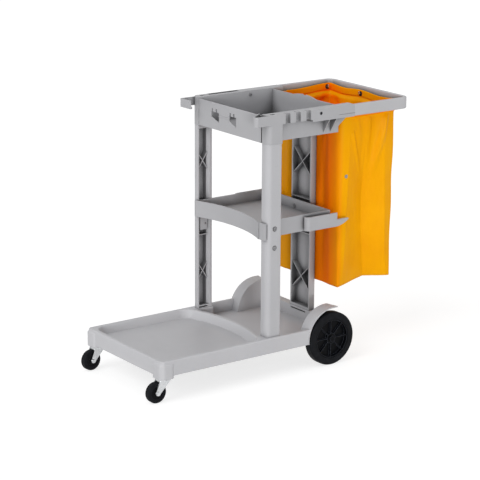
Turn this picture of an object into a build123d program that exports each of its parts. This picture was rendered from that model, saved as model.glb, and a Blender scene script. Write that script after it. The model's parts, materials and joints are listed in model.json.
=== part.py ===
from build123d import *
from math import atan2, degrees, sqrt
import os

# Janitorial cart: a moulded platform on two large rear wheels and two swivel casters, three ribbed
# uprights, a middle shelf, a top tray, and a looped push frame that carries a hanging waste bag.
# Millimetres. +Z is up, +X points to the push bar, and left is -Y, as seen by the person pushing.

os.makedirs("parts", exist_ok=True)

# Rear wheels and axle
rear_wheel_diameter = 203.2
rear_wheel_width = 39.0
rear_wheel_proud = 4.5
rear_tyre_depth = 25.0
rear_tyre_shoulder = 8.0
rear_rim_wall = 6.0
rear_rim_inset = 2.0
rear_web_thickness = 5.0
rear_web_recess = 18.0
rear_hub_radius = 20.0
rear_hub_recess = 6.5
rear_hub_overhang = 7.0
rear_spoke_count = 8
rear_spoke_thickness = 2.8
rear_spoke_depth = 9.0
rear_bush_wall = 3.5
axle_diameter = 12.0
axle_x = 220.8
axle_cap_radius = 11.0
axle_cap_thickness = 5.5
axle_grip = 4.0

# Platform
base_front_x = -538.5
base_half_width = 248.0
rail_height = 57.0
rail_crest = 15.0
front_rail_crest = 18.0
rail_rounding = 6.0
skin = 4.0
front_deck_drop = 30.5
deck_wall_run = 15.0
deck_corner_radius = 50.0
rear_deck_drop = 43.5
rib_rear_x = -46.5
rib_crest = 14.0
bow_radius = 605.0
foot_land = 4.0
beam_lead = 2.0
beam_depth = 36.0
deck_rib_thickness = 3.0
deck_rib_depth = 18.0
deck_rib_pitch_x = 105.0
deck_rib_pitch_y = 110.0
saddle_length = 30.0
saddle_width = 14.0
saddle_drop = 6.0

# Corner housings over the casters
bumper_length = 63.0
bumper_width = 67.0
bumper_proud = 5.0
bumper_corner = 20.0
bumper_drop = 9.0
bumper_shoulder_drop = 15.0
bumper_bevel_height = 10.0
bumper_bevel_angle = 38.0

# Wheel housings
housing_gap = 10.4
housing_shift_x = 6.0
housing_shift_z = 6.0
fender_thickness = 4.0
fender_proud = 2.0
fender_overhang = 8.0
fender_skew = 12.0

# Front uprights
upright_front_x = -73.5
upright_length = 63.0
upright_inset = 12.0
upright_width = 36.0
upright_front_radius = 20.0
upright_rear_radius = 5.0
upright_front_flange = 5.0
upright_rear_lip = 10.0
upright_mouth_chamfer = 10.0
upright_web = 5.0
upright_end_wall = 14.0
upright_slot_height = 5.0
upright_rib = 3.0
upright_rib_setback = 5.0
upright_cross_height = 64.0
upright_cross_rise = 149.0
upright_cross_drop = 139.0
upright_tie_drop = 20.0
spigot_margin = 8.0
spigot_depth = 34.0
spigot_clearance = 0.3

# Rear upright
rear_upright_x = 259.5
rear_upright_depth = 28.0
rear_upright_half_width = 58.5
rear_upright_lip = 6.0
rear_upright_web = 3.5
rear_upright_rounding = 5.0
rear_upright_end_wall = 10.0
rear_cross_height = 104.0
rear_cross_rise = 124.5
rear_cross_drop = 145.0
rear_tie_rise = 300.0
rear_tie_over_shelf = 5.0
rear_spigot_depth = 28.0
rear_spigot_inset = 4.0
foot_slot_height = 6.0
foot_slot_length = 91.0
foot_slot_y = 7.5
foot_slot_below_top = 7.0

# Middle shelf
shelf_top_z = 583.0
shelf_height = 62.0
shelf_floor_drop = 39.0
shelf_bow_setback = 25.5
shelf_bow_radius = 535.0
shelf_rear_gap = 18.5
shelf_wall = 4.5
shelf_floor = 4.0
ear_gap = 0.4
ear_thickness = 10.0
ear_reach_left = 32.0
ear_reach_right = 8.0
ear_overlap = 4.0
plug_drop = 56.0
plug_reach = 25.0
plug_front_clearance = 5.0
plug_rear_clearance = 2.0
bracket_setback = 7.5
bracket_length = 140.0
bracket_inset = 6.5
bracket_wall = 6.0
bracket_rise = 4.0
bracket_rim_drop = 6.0
bracket_floor = 4.0
bracket_nose = 15.0
bracket_mouth = 8.0
tongue_reach = 54.0
tongue_rim_drop = 32.0
tongue_tip_radius = 4.0
tongue_belly_reach = 30.0
tongue_belly_rise = 8.0

# Top tray
flange_top_z = 976.0
flange_height = 36.0
flange_wall = 4.0
flange_overhang = 46.0
tray_height = 104.0
tray_rim_drop = 5.0
tray_wall = 4.0
tray_floor = 4.0
tray_overhang = 13.0
panel_setback = 1.0
socket_proud = 0.5
socket_drop = 2.0
nose_radius = 10.0
nose_turn = 143.0
nose_return = 22.0
groove_width = 8.0
groove_depth = 14.0
block_front_x = 118.0
block_height = 44.0
block_step = 8.0
comb_first_x = 14.0
comb_pitch = 46.5
comb_count = 3
comb_width = 22.0
comb_depth = 20.0
arch_half_width = 72.0
arch_rise = 9.0
notch_width = 16.0
notch_depth = 3.0
window_y = ((67.0, 117.0), (-40.0, 4.0))
window_top_drop = 39.0
window_height = 38.0
window_slant = 17.0
window_tick_width = 9.0
window_tick_height = 12.0
window_tick_share = (0.14, 0.65)
clip_bar_drop = 50.0
clip_bar_height = 6.0
clip_bar_proud = 1.2
top_hole_length = 22.0
top_hole_width = 10.0
trough_front_x = -12.0
trough_rear_x = 125.0
trough_width = 19.0
trough_outer_wall = 3.0
trough_depth = 30.0
holder_reach = 54.0
holder_wall = 4.0
holder_width = 64.0
holder_return = 9.0
holder_top_drop = 4.0
gusset_setback = (70.0, 38.0)
gusset_thickness = 3.0
web_toe_setback = 28.0
seam_length = 71.5
seam_drop = 32.0
seam_height = 2.0
seam_depth = 1.2
collar_wall = 2.5
collar_height = 26.0
collar_clearance = 0.3

# Push frame
frame_reach = 265.0
frame_thickness = 13.0
frame_height = 43.5
frame_corner_radius = 33.0
frame_rounding = 4.0
tenon_length = 178.5
tenon_clearance = 0.3
frame_bolt_setback = 23.5
frame_bolt_drop = 16.0
frame_bolt_hole = 12.0

# Waste bag and its hooks
bag_gap = 3.0
bag_length = 254.0
bag_inset = 10.0
bag_bottom_z = 272.0
bag_wall = 2.5
bag_top_drop = 12.0
flare_height = 15.0
hem_height = 27.0
hem_rear_gap = 10.5
hem_side_gap = 11.5
hem_cheek_gap = 4.0
hem_cheek_run = 26.0
hook_radius = 3.5
hook_past = 9.0
hook_tip = 9.0
hook_drop = 27.0
hook_side_setback = 15.0
hook_rear_y = 23.0
hook_front_y = 118.0
eyelet_bore = 6.0
eyelet_flange = 10.0
eyelet_leaf = 1.0
eyelet_clearance = 0.3
stud_setback = 31.2
stud_drop = 267.0
stud_radius = 7.0
stud_height = 3.0

# Casters
caster_trail = 33.0
caster_turn_left = 0.0
caster_turn_right = 6.0
caster_diameter = 76.2
caster_tread_width = 24.0
caster_tread_depth = 13.0
caster_tread_shoulder = 5.0
caster_core_width = 22.0
caster_bush_radius = 7.0
caster_bush_width = 27.2
caster_plate_length = 50.0
caster_plate_width = 54.0
caster_plate_thickness = 2.5
caster_plate_corner = 12.0
caster_race_radius = 19.0
caster_race_height = 3.0
caster_bearing_height = 5.7
caster_bearing_bore = 12.0
caster_bearing_radius = 20.0
caster_crown_gap = 6.2
caster_crown_radius = 28.0
caster_crown_thickness = 3.0
caster_leg_gap = 1.0
caster_leg_thickness = 2.6
caster_leg_top = 46.0
caster_leg_boss = 9.0
caster_kingpin_radius = 5.0
caster_rivet_radius = 8.0
caster_rivet_height = 3.0
caster_axle_radius = 4.0
caster_screw_pitch_x = 35.0
caster_screw_pitch_y = 37.0
caster_screw_head = 5.0
caster_screw_grip = 14.0

# Fasteners and fits
bolt_radius = 3.0
bolt_head_radius = 7.0
bolt_head_height = 4.5
bolt_socket_radius = 3.4
bolt_socket_depth = 2.5
bolt_hole_clearance = 0.1
bolt_grip = 22.0
bolt_seat_radius = 9.5
bolt_seat_depth = 2.5
upright_bolt_setback = 33.4
upright_bolt_drop = (94.0, 23.0)
shelf_screw_y = 10.0
shelf_screw_drop = 25.0
shelf_screw_bite = 14.0
shelf_boss_radius = 9.0
running_clearance = 0.05
part_gap = 0.4

# Values that follow from the sizes above: rear wheels
axle_radius = axle_diameter / 2
axle_z = rear_wheel_diameter / 2
rear_rim_radius = axle_z - rear_tyre_depth
rear_wheel_face_y = base_half_width + rear_wheel_proud
rear_wheel_inner_y = rear_wheel_face_y - rear_wheel_width
rear_hub_inner_y = rear_wheel_inner_y - rear_hub_overhang
rear_hub_outer_y = rear_wheel_face_y - rear_hub_recess
rear_web_y = rear_wheel_face_y - rear_web_recess

# Casters, from the floor up to the platform's underside
caster_radius = caster_diameter / 2
caster_core_radius = caster_radius - caster_tread_depth
caster_bore_radius = caster_axle_radius + running_clearance
caster_leg_inner_y = caster_bush_width / 2 + caster_leg_gap
caster_leg_outer_y = caster_leg_inner_y + caster_leg_thickness
crown_bottom_z = caster_diameter + caster_crown_gap
crown_top_z = crown_bottom_z + caster_crown_thickness
race_bottom_z = crown_top_z + caster_bearing_height + part_gap
plate_bottom_z = race_bottom_z + caster_race_height
caster_roof_z = plate_bottom_z + caster_plate_thickness
caster_stem_x = base_front_x - bumper_proud + bumper_length / 2
caster_stem_y = base_half_width + bumper_proud - bumper_width / 2

# Platform
rail_bottom_z = caster_roof_z
rail_top_z = rail_bottom_z + rail_height
front_deck_z = rail_top_z - front_deck_drop
rear_deck_z = rail_top_z - rear_deck_drop
bumper_x = caster_stem_x
bumper_y = caster_stem_y
bumper_bottom_z = rail_bottom_z - bumper_drop
bumper_shoulder_z = rail_top_z - bumper_shoulder_drop
housing_x = axle_x + housing_shift_x
housing_z = axle_z + housing_shift_z
arch_radius = axle_z + housing_gap
fender_radius = arch_radius + fender_thickness
fender_lip_y = base_half_width + fender_proud
fender_end_x = housing_x + fender_overhang
beam_front_x = rear_upright_x - beam_lead
base_rear_x = beam_front_x + beam_depth

# Heights of the shelf, the tray and the push frame
shelf_bottom_z = shelf_top_z - shelf_height
shelf_floor_z = shelf_top_z - shelf_floor_drop
flange_bottom_z = flange_top_z - flange_height
block_bottom_z = flange_top_z - block_height
tray_rim_z = flange_top_z - tray_rim_drop
tray_bottom_z = flange_top_z - tray_height
frame_bottom_z = flange_top_z - frame_height
frame_bolt_z = flange_top_z - frame_bolt_drop
upright_top_z = tray_bottom_z - socket_drop

# Uprights
upright_outer_y = base_half_width - upright_inset
upright_inner_y = upright_outer_y - upright_width
upright_rear_x = upright_front_x + upright_length
upright_mid_x = (upright_front_x + upright_rear_x) / 2
upright_mid_y = (upright_inner_y + upright_outer_y) / 2
housing_y = upright_inner_y
pocket_front_x = upright_front_x + upright_front_flange
pocket_rear_x = upright_rear_x - upright_rear_lip - upright_mouth_chamfer
pocket_mid_x = (pocket_front_x + pocket_rear_x) / 2
pocket_depth = upright_width - upright_web
upright_cross_z = (rail_top_z + upright_cross_rise, upright_top_z - upright_cross_drop)
upright_tie_z = shelf_bottom_z - plug_drop - upright_tie_drop
foot_x = (upright_front_x - foot_land, upright_rear_x + foot_land)
spigot_length = upright_length - 2 * spigot_margin
spigot_width = upright_width - 2 * spigot_margin
rear_upright_back_x = rear_upright_x + rear_upright_depth
rear_upright_top_z = tray_bottom_z
rear_cross_z = (rail_top_z + rear_cross_rise, tray_bottom_z - rear_cross_drop)
rear_tie_z = (rail_top_z + rear_tie_rise, shelf_top_z + rear_tie_over_shelf)

# Shelf
shelf_half_width = upright_inner_y
shelf_rear_x = rear_upright_x - shelf_rear_gap
shelf_front_mid_x = upright_front_x + shelf_bow_setback
bracket_rear_x = rear_upright_x - bracket_setback
bracket_front_x = bracket_rear_x - bracket_length
bracket_outer_y = upright_outer_y + socket_proud - bracket_inset
bracket_bottom_z = shelf_bottom_z + bracket_rise
bracket_top_z = shelf_top_z - bracket_rim_drop
tongue_tip_x = bracket_rear_x + tongue_reach
tongue_top_z = shelf_top_z - tongue_rim_drop
upright_bolt_x = upright_front_x + upright_bolt_setback
upright_bolt_z = [shelf_top_z - drop for drop in upright_bolt_drop]
shelf_screw_z = shelf_top_z - shelf_screw_drop

# Tray and push frame
tray_half_width = upright_inner_y
tray_front_x = upright_front_x + panel_setback
tray_rear_x = rear_upright_x + tray_overhang
flange_outer_y = upright_outer_y + socket_proud
flange_rear_x = tray_rear_x + flange_overhang
web_toe_x = tray_rear_x - web_toe_setback
window_top_z = flange_top_z - window_top_drop
window_bottom_z = window_top_z - window_height
clip_bar_z = flange_top_z - clip_bar_drop
seam_z = flange_top_z - seam_drop
holder_front_x = upright_front_x - holder_reach
holder_plate_inner_y = flange_outer_y - holder_width
holder_top_z = flange_top_z - holder_top_drop
frame_rear_x = flange_rear_x + frame_reach
frame_inner_x = frame_rear_x - frame_thickness
frame_inner_y = flange_outer_y - frame_thickness
frame_tenon_x = flange_rear_x - tenon_length
frame_bolt_x = frame_tenon_x + frame_bolt_setback
tenon_outer_y = flange_outer_y - flange_wall - tenon_clearance
nut_end_y = tray_half_width - tray_wall - bolt_head_height

# Bag and fasteners
bag_front_x = rear_upright_back_x + bag_gap
bag_rear_x = bag_front_x + bag_length
bag_half_width = tray_half_width - bag_inset
bag_top_z = flange_top_z - bag_top_drop
hem_bottom_z = bag_top_z - hem_height
flare_bottom_z = hem_bottom_z - flare_height
hem_rear_x = frame_inner_x - hem_rear_gap
hem_half_width = frame_inner_y - hem_side_gap
hook_z = flange_top_z - hook_drop
hook_side_x = hem_rear_x - hook_side_setback
stud_x = bag_front_x + stud_setback
stud_z = bag_top_z - stud_drop
bolt_hole_radius = bolt_radius + bolt_hole_clearance


def level(z):
    """Horizontal plane at height z."""
    return Plane.XY.offset(z)


def side_plane(y):
    """Upright plane along the length of the cart at y; extrusions from it run towards -Y."""
    return Plane.XZ.offset(-y)


def cross_plane(x):
    """Upright plane across the cart at x; its sketches are drawn in Y and Z."""
    return Plane.YZ.offset(x)


def span(low, high):
    """Middle and length of a stretch, for a rectangle that runs from low to high."""
    return (low + high) / 2, high - low


def block(x_range, y_range, z_range, mode=Mode.ADD):
    """Rectangular prism between three pairs of limits, joined to the part being built."""
    mid_x, size_x = span(*x_range)
    mid_y, size_y = span(*y_range)
    with BuildSketch(level(z_range[0])) as plan:
        with Locations((mid_x, mid_y)):
            Rectangle(size_x, size_y)
    extrude(plan.sketch, amount=z_range[1] - z_range[0], mode=mode)


def drill_y(points, radius, y, depth):
    """Round holes along -Y from the plane at y, at points given in X and Z."""
    with BuildSketch(side_plane(y)) as holes:
        with Locations(*points):
            Circle(radius)
    extrude(holes.sketch, amount=depth, mode=Mode.SUBTRACT)


def bolt(plane, grip, head_radius=bolt_head_radius):
    """Round-headed bolt whose head sits on the plane and whose shank runs grip below it."""
    with BuildPart() as piece:
        with BuildSketch(plane):
            Circle(head_radius)
        extrude(amount=bolt_head_height)
        with BuildSketch(plane.offset(bolt_head_height)):
            RegularPolygon(bolt_socket_radius, 6)
        extrude(amount=-bolt_socket_depth, mode=Mode.SUBTRACT)
        with BuildSketch(plane):
            Circle(bolt_radius)
        extrude(amount=-grip)
    return piece.part


def bowed_x(mid_x, radius, y):
    """X of an arc that bows towards +X and passes through mid_x on the middle line."""
    return mid_x - (radius - sqrt(radius**2 - y**2))


# Platform
def front_recess(grow):
    """Dished front deck. With grow it is the larger body whose outside is the underside's hollow."""
    front = base_front_x + front_rail_crest - grow
    half = base_half_width - rail_crest + grow
    rear = rib_rear_x - rib_crest + grow
    end = bowed_x(rear, bow_radius, half)
    depth = rail_top_z - front_deck_z
    with BuildPart() as recess:
        with BuildSketch(level(rail_top_z)) as outline:
            with BuildLine():
                Polyline((end, half), (front, half), (front, -half), (end, -half))
                ThreePointArc((end, -half), (rear, 0), (end, half))
            make_face()
            fillet(outline.vertices(), deck_corner_radius + grow)
        extrude(amount=-(depth + grow), taper=degrees(atan2(deck_wall_run, depth)))
    return recess.part


def rear_recess(grow):
    """Flat-bottomed well between the bowed rib, the uprights' feet, the housings and the rear beam."""
    middle = rib_rear_x - grow
    waist = upright_inner_y - foot_land + grow
    half = base_half_width - rail_crest + grow
    neck = housing_y - skin + grow
    corner = bowed_x(middle, bow_radius, waist)
    shoulder = housing_x - arch_radius / 2 + grow
    foot_end = foot_x[1] - grow
    back = beam_front_x + grow
    right_side = [(corner, waist), (foot_end, waist), (foot_end, half), (shoulder, half),
                  (shoulder, neck), (back, neck)]
    left_side = [(x, -y) for x, y in reversed(right_side)]
    with BuildPart() as recess:
        with BuildSketch(level(rail_top_z)):
            with BuildLine():
                Polyline(*right_side, *left_side)
                ThreePointArc(left_side[-1], (middle, 0), right_side[0])
            make_face()
        extrude(amount=-(rail_top_z - rear_deck_z + grow))
    return recess.part


def platform_plan(inset):
    """Plan of the platform: full width up to the wheels and narrow between the housings."""
    mid, length = span(base_front_x + inset, axle_x)
    with Locations((mid, 0)):
        Rectangle(length, 2 * (base_half_width - inset))
    mid, length = span(base_front_x + inset, base_rear_x - inset)
    with Locations((mid, 0)):
        Rectangle(length, 2 * (housing_y - inset))


with BuildPart() as base_core:
    with BuildSketch(level(rail_bottom_z)):
        platform_plan(skin)
    extrude(amount=rail_top_z - rail_bottom_z - skin)
    add(front_recess(skin), mode=Mode.SUBTRACT)
    add(rear_recess(skin), mode=Mode.SUBTRACT)
    for side in (1, -1):
        corner_y = (side * (bumper_y - bumper_width / 2), side * base_half_width)
        block((base_front_x, bumper_x + bumper_length / 2), sorted(corner_y),
              (rail_bottom_z, rail_top_z), Mode.SUBTRACT)
        foot_y = (side * (upright_inner_y - foot_land), side * base_half_width)
        block(foot_x, sorted(foot_y), (rail_bottom_z, rail_top_z), Mode.SUBTRACT)
        with BuildSketch(side_plane(side * (housing_y - skin) if side < 0 else base_half_width)):
            with Locations((housing_x, housing_z)):
                Circle(fender_radius)
        extrude(amount=base_half_width - housing_y + skin, mode=Mode.SUBTRACT)

with BuildPart() as base_platform:
    with BuildSketch(level(rail_bottom_z)) as outer_plan:
        platform_plan(0)
        fillet(outer_plan.vertices().group_by(Axis.X)[0], bumper_corner - bumper_proud)
    extrude(amount=rail_top_z - rail_bottom_z)
    bumper_crown_z = bumper_shoulder_z + bumper_bevel_height
    for low, high, taper in ((bumper_bottom_z, bumper_shoulder_z, 0),
                             (bumper_shoulder_z, bumper_crown_z, bumper_bevel_angle)):
        with BuildSketch(level(low)):
            with Locations((bumper_x, bumper_y), (bumper_x, -bumper_y)):
                RectangleRounded(bumper_length, bumper_width, bumper_corner)
        extrude(amount=high - low, taper=taper)
    add(front_recess(0), mode=Mode.SUBTRACT)
    fillet(base_platform.faces().sort_by(Axis.Z)[-1].edges(), rail_rounding)
    add(rear_recess(0), mode=Mode.SUBTRACT)
    add(base_core.part, mode=Mode.SUBTRACT)

    # Stiffening ribs under both decks
    front_ribs_x = [base_front_x + deck_rib_pitch_x * (i + 0.9) for i in range(4)]
    for x in front_ribs_x:
        mid, size = span(front_deck_z - skin - deck_rib_depth, front_deck_z - skin / 2)
        with BuildSketch(cross_plane(x)):
            with Locations((0, mid)):
                Rectangle(2 * base_half_width - skin, size)
        extrude(amount=deck_rib_thickness)
    for y in (-deck_rib_pitch_y, 0, deck_rib_pitch_y):
        long_rib_y = (y - deck_rib_thickness / 2, y + deck_rib_thickness / 2)
        block((base_front_x + skin / 2, rib_rear_x), long_rib_y,
              (front_deck_z - skin - deck_rib_depth, front_deck_z - skin / 2))
        block((rib_rear_x - rib_crest, base_rear_x - skin / 2), long_rib_y,
              (rail_bottom_z, rear_deck_z - skin / 2))
    for y in (-deck_rib_pitch_y, deck_rib_pitch_y):
        block((axle_x - saddle_length / 2, axle_x + saddle_length / 2),
              (y - saddle_width / 2, y + saddle_width / 2),
              (axle_z - axle_radius - saddle_drop, rear_deck_z - skin / 2))

    for side in (1, -1):
        # Wheel housing: an inner wall and a fender that ends just past the top of the wheel
        wall_y = sorted((side * (housing_y - skin), side * housing_y))
        lip_y = sorted((side * (housing_y - skin), side * fender_lip_y))
        mid, size = span(rail_bottom_z, housing_z + fender_radius)
        with BuildSketch(side_plane(wall_y[1])):
            with Locations((housing_x, housing_z)):
                Circle(fender_radius)
            with Locations((housing_x - fender_radius / 2, mid)):
                Rectangle(fender_radius + 2 * fender_overhang, size, mode=Mode.INTERSECT)
        extrude(amount=skin)
        with BuildSketch(side_plane(lip_y[1])):
            with Locations((housing_x, housing_z)):
                Circle(fender_radius)
                Circle(arch_radius, mode=Mode.SUBTRACT)
            with Locations((housing_x - fender_radius / 2, mid)):
                Rectangle(fender_radius, size, mode=Mode.INTERSECT)
            mid_x, length = span(housing_x, fender_end_x + fender_skew)
            with Locations((mid_x, housing_z + fender_radius - fender_thickness / 2)):
                Rectangle(length, fender_thickness)
        extrude(amount=lip_y[1] - lip_y[0])
        with BuildSketch(level(rail_top_z + rail_rounding)):
            with BuildLine():
                Polyline((fender_end_x, side * (housing_y - skin)),
                         (fender_end_x + fender_skew, side * fender_lip_y),
                         (fender_end_x + 2 * fender_skew, side * fender_lip_y),
                         (fender_end_x + 2 * fender_skew, side * (housing_y - skin)), close=True)
            make_face()
        extrude(amount=housing_z + fender_radius - rail_top_z, mode=Mode.SUBTRACT)
        wheel_y = sorted((side * housing_y, side * (base_half_width + rear_wheel_width)))
        with BuildSketch(side_plane(wheel_y[1])):
            with Locations((housing_x, housing_z)):
                Circle(arch_radius)
        extrude(amount=wheel_y[1] - wheel_y[0], mode=Mode.SUBTRACT)

        # Socket for the front upright's foot and pocket for the caster
        with BuildSketch(level(rail_top_z)):
            with Locations((upright_mid_x, side * upright_mid_y)):
                Rectangle(spigot_length + 2 * spigot_clearance, spigot_width + 2 * spigot_clearance)
        extrude(amount=-(spigot_depth + part_gap), mode=Mode.SUBTRACT)
        with BuildSketch(level(bumper_bottom_z)):
            with Locations((bumper_x, side * bumper_y)):
                RectangleRounded(bumper_length - 2 * skin, bumper_width - 2 * skin, bumper_corner - skin)
        extrude(amount=caster_roof_z - bumper_bottom_z, mode=Mode.SUBTRACT)
        with BuildSketch(level(caster_roof_z)):
            with Locations((caster_stem_x, side * caster_stem_y)):
                with GridLocations(caster_screw_pitch_x, caster_screw_pitch_y, 2, 2):
                    Circle(bolt_hole_radius)
        extrude(amount=caster_screw_grip - caster_plate_thickness, mode=Mode.SUBTRACT)

    # Rear beam: socket for the rear upright's foot and the slot below it
    rear_mid_x = (rear_upright_x + rear_upright_back_x) / 2
    with BuildSketch(level(rail_top_z)):
        with Locations((rear_mid_x, 0)):
            Rectangle(rear_upright_depth - 2 * rear_spigot_inset + 2 * spigot_clearance,
                      2 * (rear_upright_half_width - rear_upright_lip) + 2 * spigot_clearance)
    extrude(amount=-(rear_spigot_depth + part_gap), mode=Mode.SUBTRACT)
    slot_top = rail_top_z - foot_slot_below_top
    block((beam_front_x, beam_front_x + skin),
          (foot_slot_y - foot_slot_length / 2, foot_slot_y + foot_slot_length / 2),
          (slot_top - foot_slot_height, slot_top), Mode.SUBTRACT)

    # Hole for the axle through both housings and the saddles
    with BuildSketch(side_plane(housing_y)):
        with Locations((axle_x, axle_z)):
            Circle(axle_radius + bolt_hole_clearance)
    extrude(amount=2 * housing_y, mode=Mode.SUBTRACT)

# Front uprights: the bar's outside, the ribs in its pocket, and the finished channel
with BuildPart() as upright_bar:
    with BuildSketch(level(rail_top_z)) as upright_section:
        with Locations((upright_mid_x, upright_mid_y)):
            Rectangle(upright_length, upright_width)
        fillet(upright_section.vertices().group_by(Axis.Y)[-1].sort_by(Axis.X)[0], upright_front_radius)
        fillet(upright_section.vertices().group_by(Axis.Y)[-1].sort_by(Axis.X)[-1], upright_rear_radius)
    extrude(amount=upright_top_z - rail_top_z)

with BuildPart() as upright_ribs:
    cross_width = pocket_rear_x - pocket_front_x + upright_front_flange
    cross_length = sqrt(cross_width**2 + upright_cross_height**2)
    cross_angle = degrees(atan2(upright_cross_height, cross_width))
    with BuildSketch(side_plane(upright_inner_y + upright_rib_setback)):
        with Locations(*[(pocket_mid_x, z) for z in upright_cross_z]):
            Rectangle(cross_length, upright_rib, rotation=cross_angle)
            Rectangle(cross_length, upright_rib, rotation=-cross_angle)
        with Locations((pocket_mid_x, upright_tie_z)):
            Rectangle(cross_width, upright_rib)
    extrude(amount=-(pocket_depth - upright_rib_setback))
    add(upright_bar.part, mode=Mode.INTERSECT)

with BuildPart() as front_upright_right:
    add(upright_bar.part)
    with BuildSketch(level(rail_top_z + upright_end_wall)) as pocket_section:
        mouth_x = upright_rear_x - upright_rear_lip
        with BuildLine():
            Polyline((pocket_front_x, upright_inner_y),
                     (mouth_x, upright_inner_y),
                     (pocket_rear_x, upright_inner_y + upright_mouth_chamfer),
                     (pocket_rear_x, upright_outer_y - upright_web),
                     (pocket_front_x, upright_outer_y - upright_web), close=True)
        make_face()
        fillet(pocket_section.vertices().group_by(Axis.X)[0].sort_by(Axis.Y)[-1],
               upright_front_radius - upright_web)
    extrude(amount=upright_top_z - rail_top_z - 2 * upright_end_wall, mode=Mode.SUBTRACT)
    add(upright_ribs.part)

    # Slot at the foot, spigots at both ends, and holes with sunk seats for the shelf's bolts
    mid_z = rail_top_z + upright_end_wall / 2
    with BuildSketch(side_plane(upright_inner_y + pocket_depth / 2)):
        with Locations((pocket_mid_x, mid_z)):
            Rectangle(pocket_rear_x - pocket_front_x, upright_slot_height)
    extrude(amount=pocket_depth / 2, mode=Mode.SUBTRACT)
    for plane, depth in ((level(rail_top_z), -spigot_depth), (level(upright_top_z), spigot_depth)):
        with BuildSketch(plane):
            with Locations((upright_mid_x, upright_mid_y)):
                Rectangle(spigot_length, spigot_width)
        extrude(amount=depth)
    bolt_points = [(upright_bolt_x, z) for z in upright_bolt_z]
    drill_y(bolt_points, bolt_seat_radius, upright_outer_y, bolt_seat_depth)
    drill_y(bolt_points, bolt_hole_radius, upright_outer_y, upright_web)

with BuildPart() as front_upright_left:
    mirror(front_upright_right.part, about=Plane.XZ)

with BuildPart() as rear_upright:
    foot_z = rail_top_z
    pocket_half = rear_upright_half_width - rear_upright_lip
    with BuildSketch(level(foot_z)) as rear_section:
        with Locations((rear_mid_x, 0)):
            Rectangle(rear_upright_depth, 2 * rear_upright_half_width)
        fillet(rear_section.vertices().group_by(Axis.X)[-1], rear_upright_rounding)
    extrude(amount=rear_upright_top_z - foot_z)
    mid, size = span(foot_z + rear_upright_end_wall, rear_upright_top_z - rear_upright_end_wall)
    with BuildSketch(cross_plane(rear_upright_x)):
        with Locations((0, mid)):
            Rectangle(2 * pocket_half, size)
    extrude(amount=rear_upright_depth - rear_upright_web, mode=Mode.SUBTRACT)
    cross_width = 2 * pocket_half + rear_upright_lip
    cross_length = sqrt(cross_width**2 + rear_cross_height**2)
    cross_angle = degrees(atan2(rear_cross_height, cross_width))
    with BuildSketch(cross_plane(rear_upright_x + upright_rib_setback)):
        with Locations(*[(0, z) for z in rear_cross_z]):
            Rectangle(cross_length, upright_rib, rotation=cross_angle)
            Rectangle(cross_length, upright_rib, rotation=-cross_angle)
    extrude(amount=rear_upright_depth - rear_upright_web - upright_rib_setback)
    with BuildSketch(cross_plane(rear_upright_x)):
        with Locations(*[(0, z) for z in rear_tie_z]):
            Rectangle(cross_width, upright_rib)
        with Locations((shelf_screw_y, shelf_screw_z)):
            Circle(bolt_head_radius)
    extrude(amount=rear_upright_depth - rear_upright_web)
    with BuildSketch(cross_plane(rear_upright_x)):
        with Locations((shelf_screw_y, shelf_screw_z)):
            Circle(bolt_hole_radius)
    extrude(amount=shelf_screw_bite, mode=Mode.SUBTRACT)
    with BuildSketch(level(foot_z)):
        with Locations((rear_mid_x, 0)):
            Rectangle(rear_upright_depth - 2 * rear_spigot_inset, 2 * pocket_half)
    extrude(amount=-rear_spigot_depth)

# Middle shelf
def shelf_plan(inset):
    """Plan of the shelf with its bowed front, drawn in by inset all round."""
    half = shelf_half_width - inset
    rear = shelf_rear_x - inset
    front = shelf_front_mid_x + inset
    end = bowed_x(front, shelf_bow_radius, half)
    with BuildLine() as outline:
        Polyline((end, half), (rear, half), (rear, -half), (end, -half))
        ThreePointArc((end, -half), (front, 0), (end, half))
    make_face(outline.edges())


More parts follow.
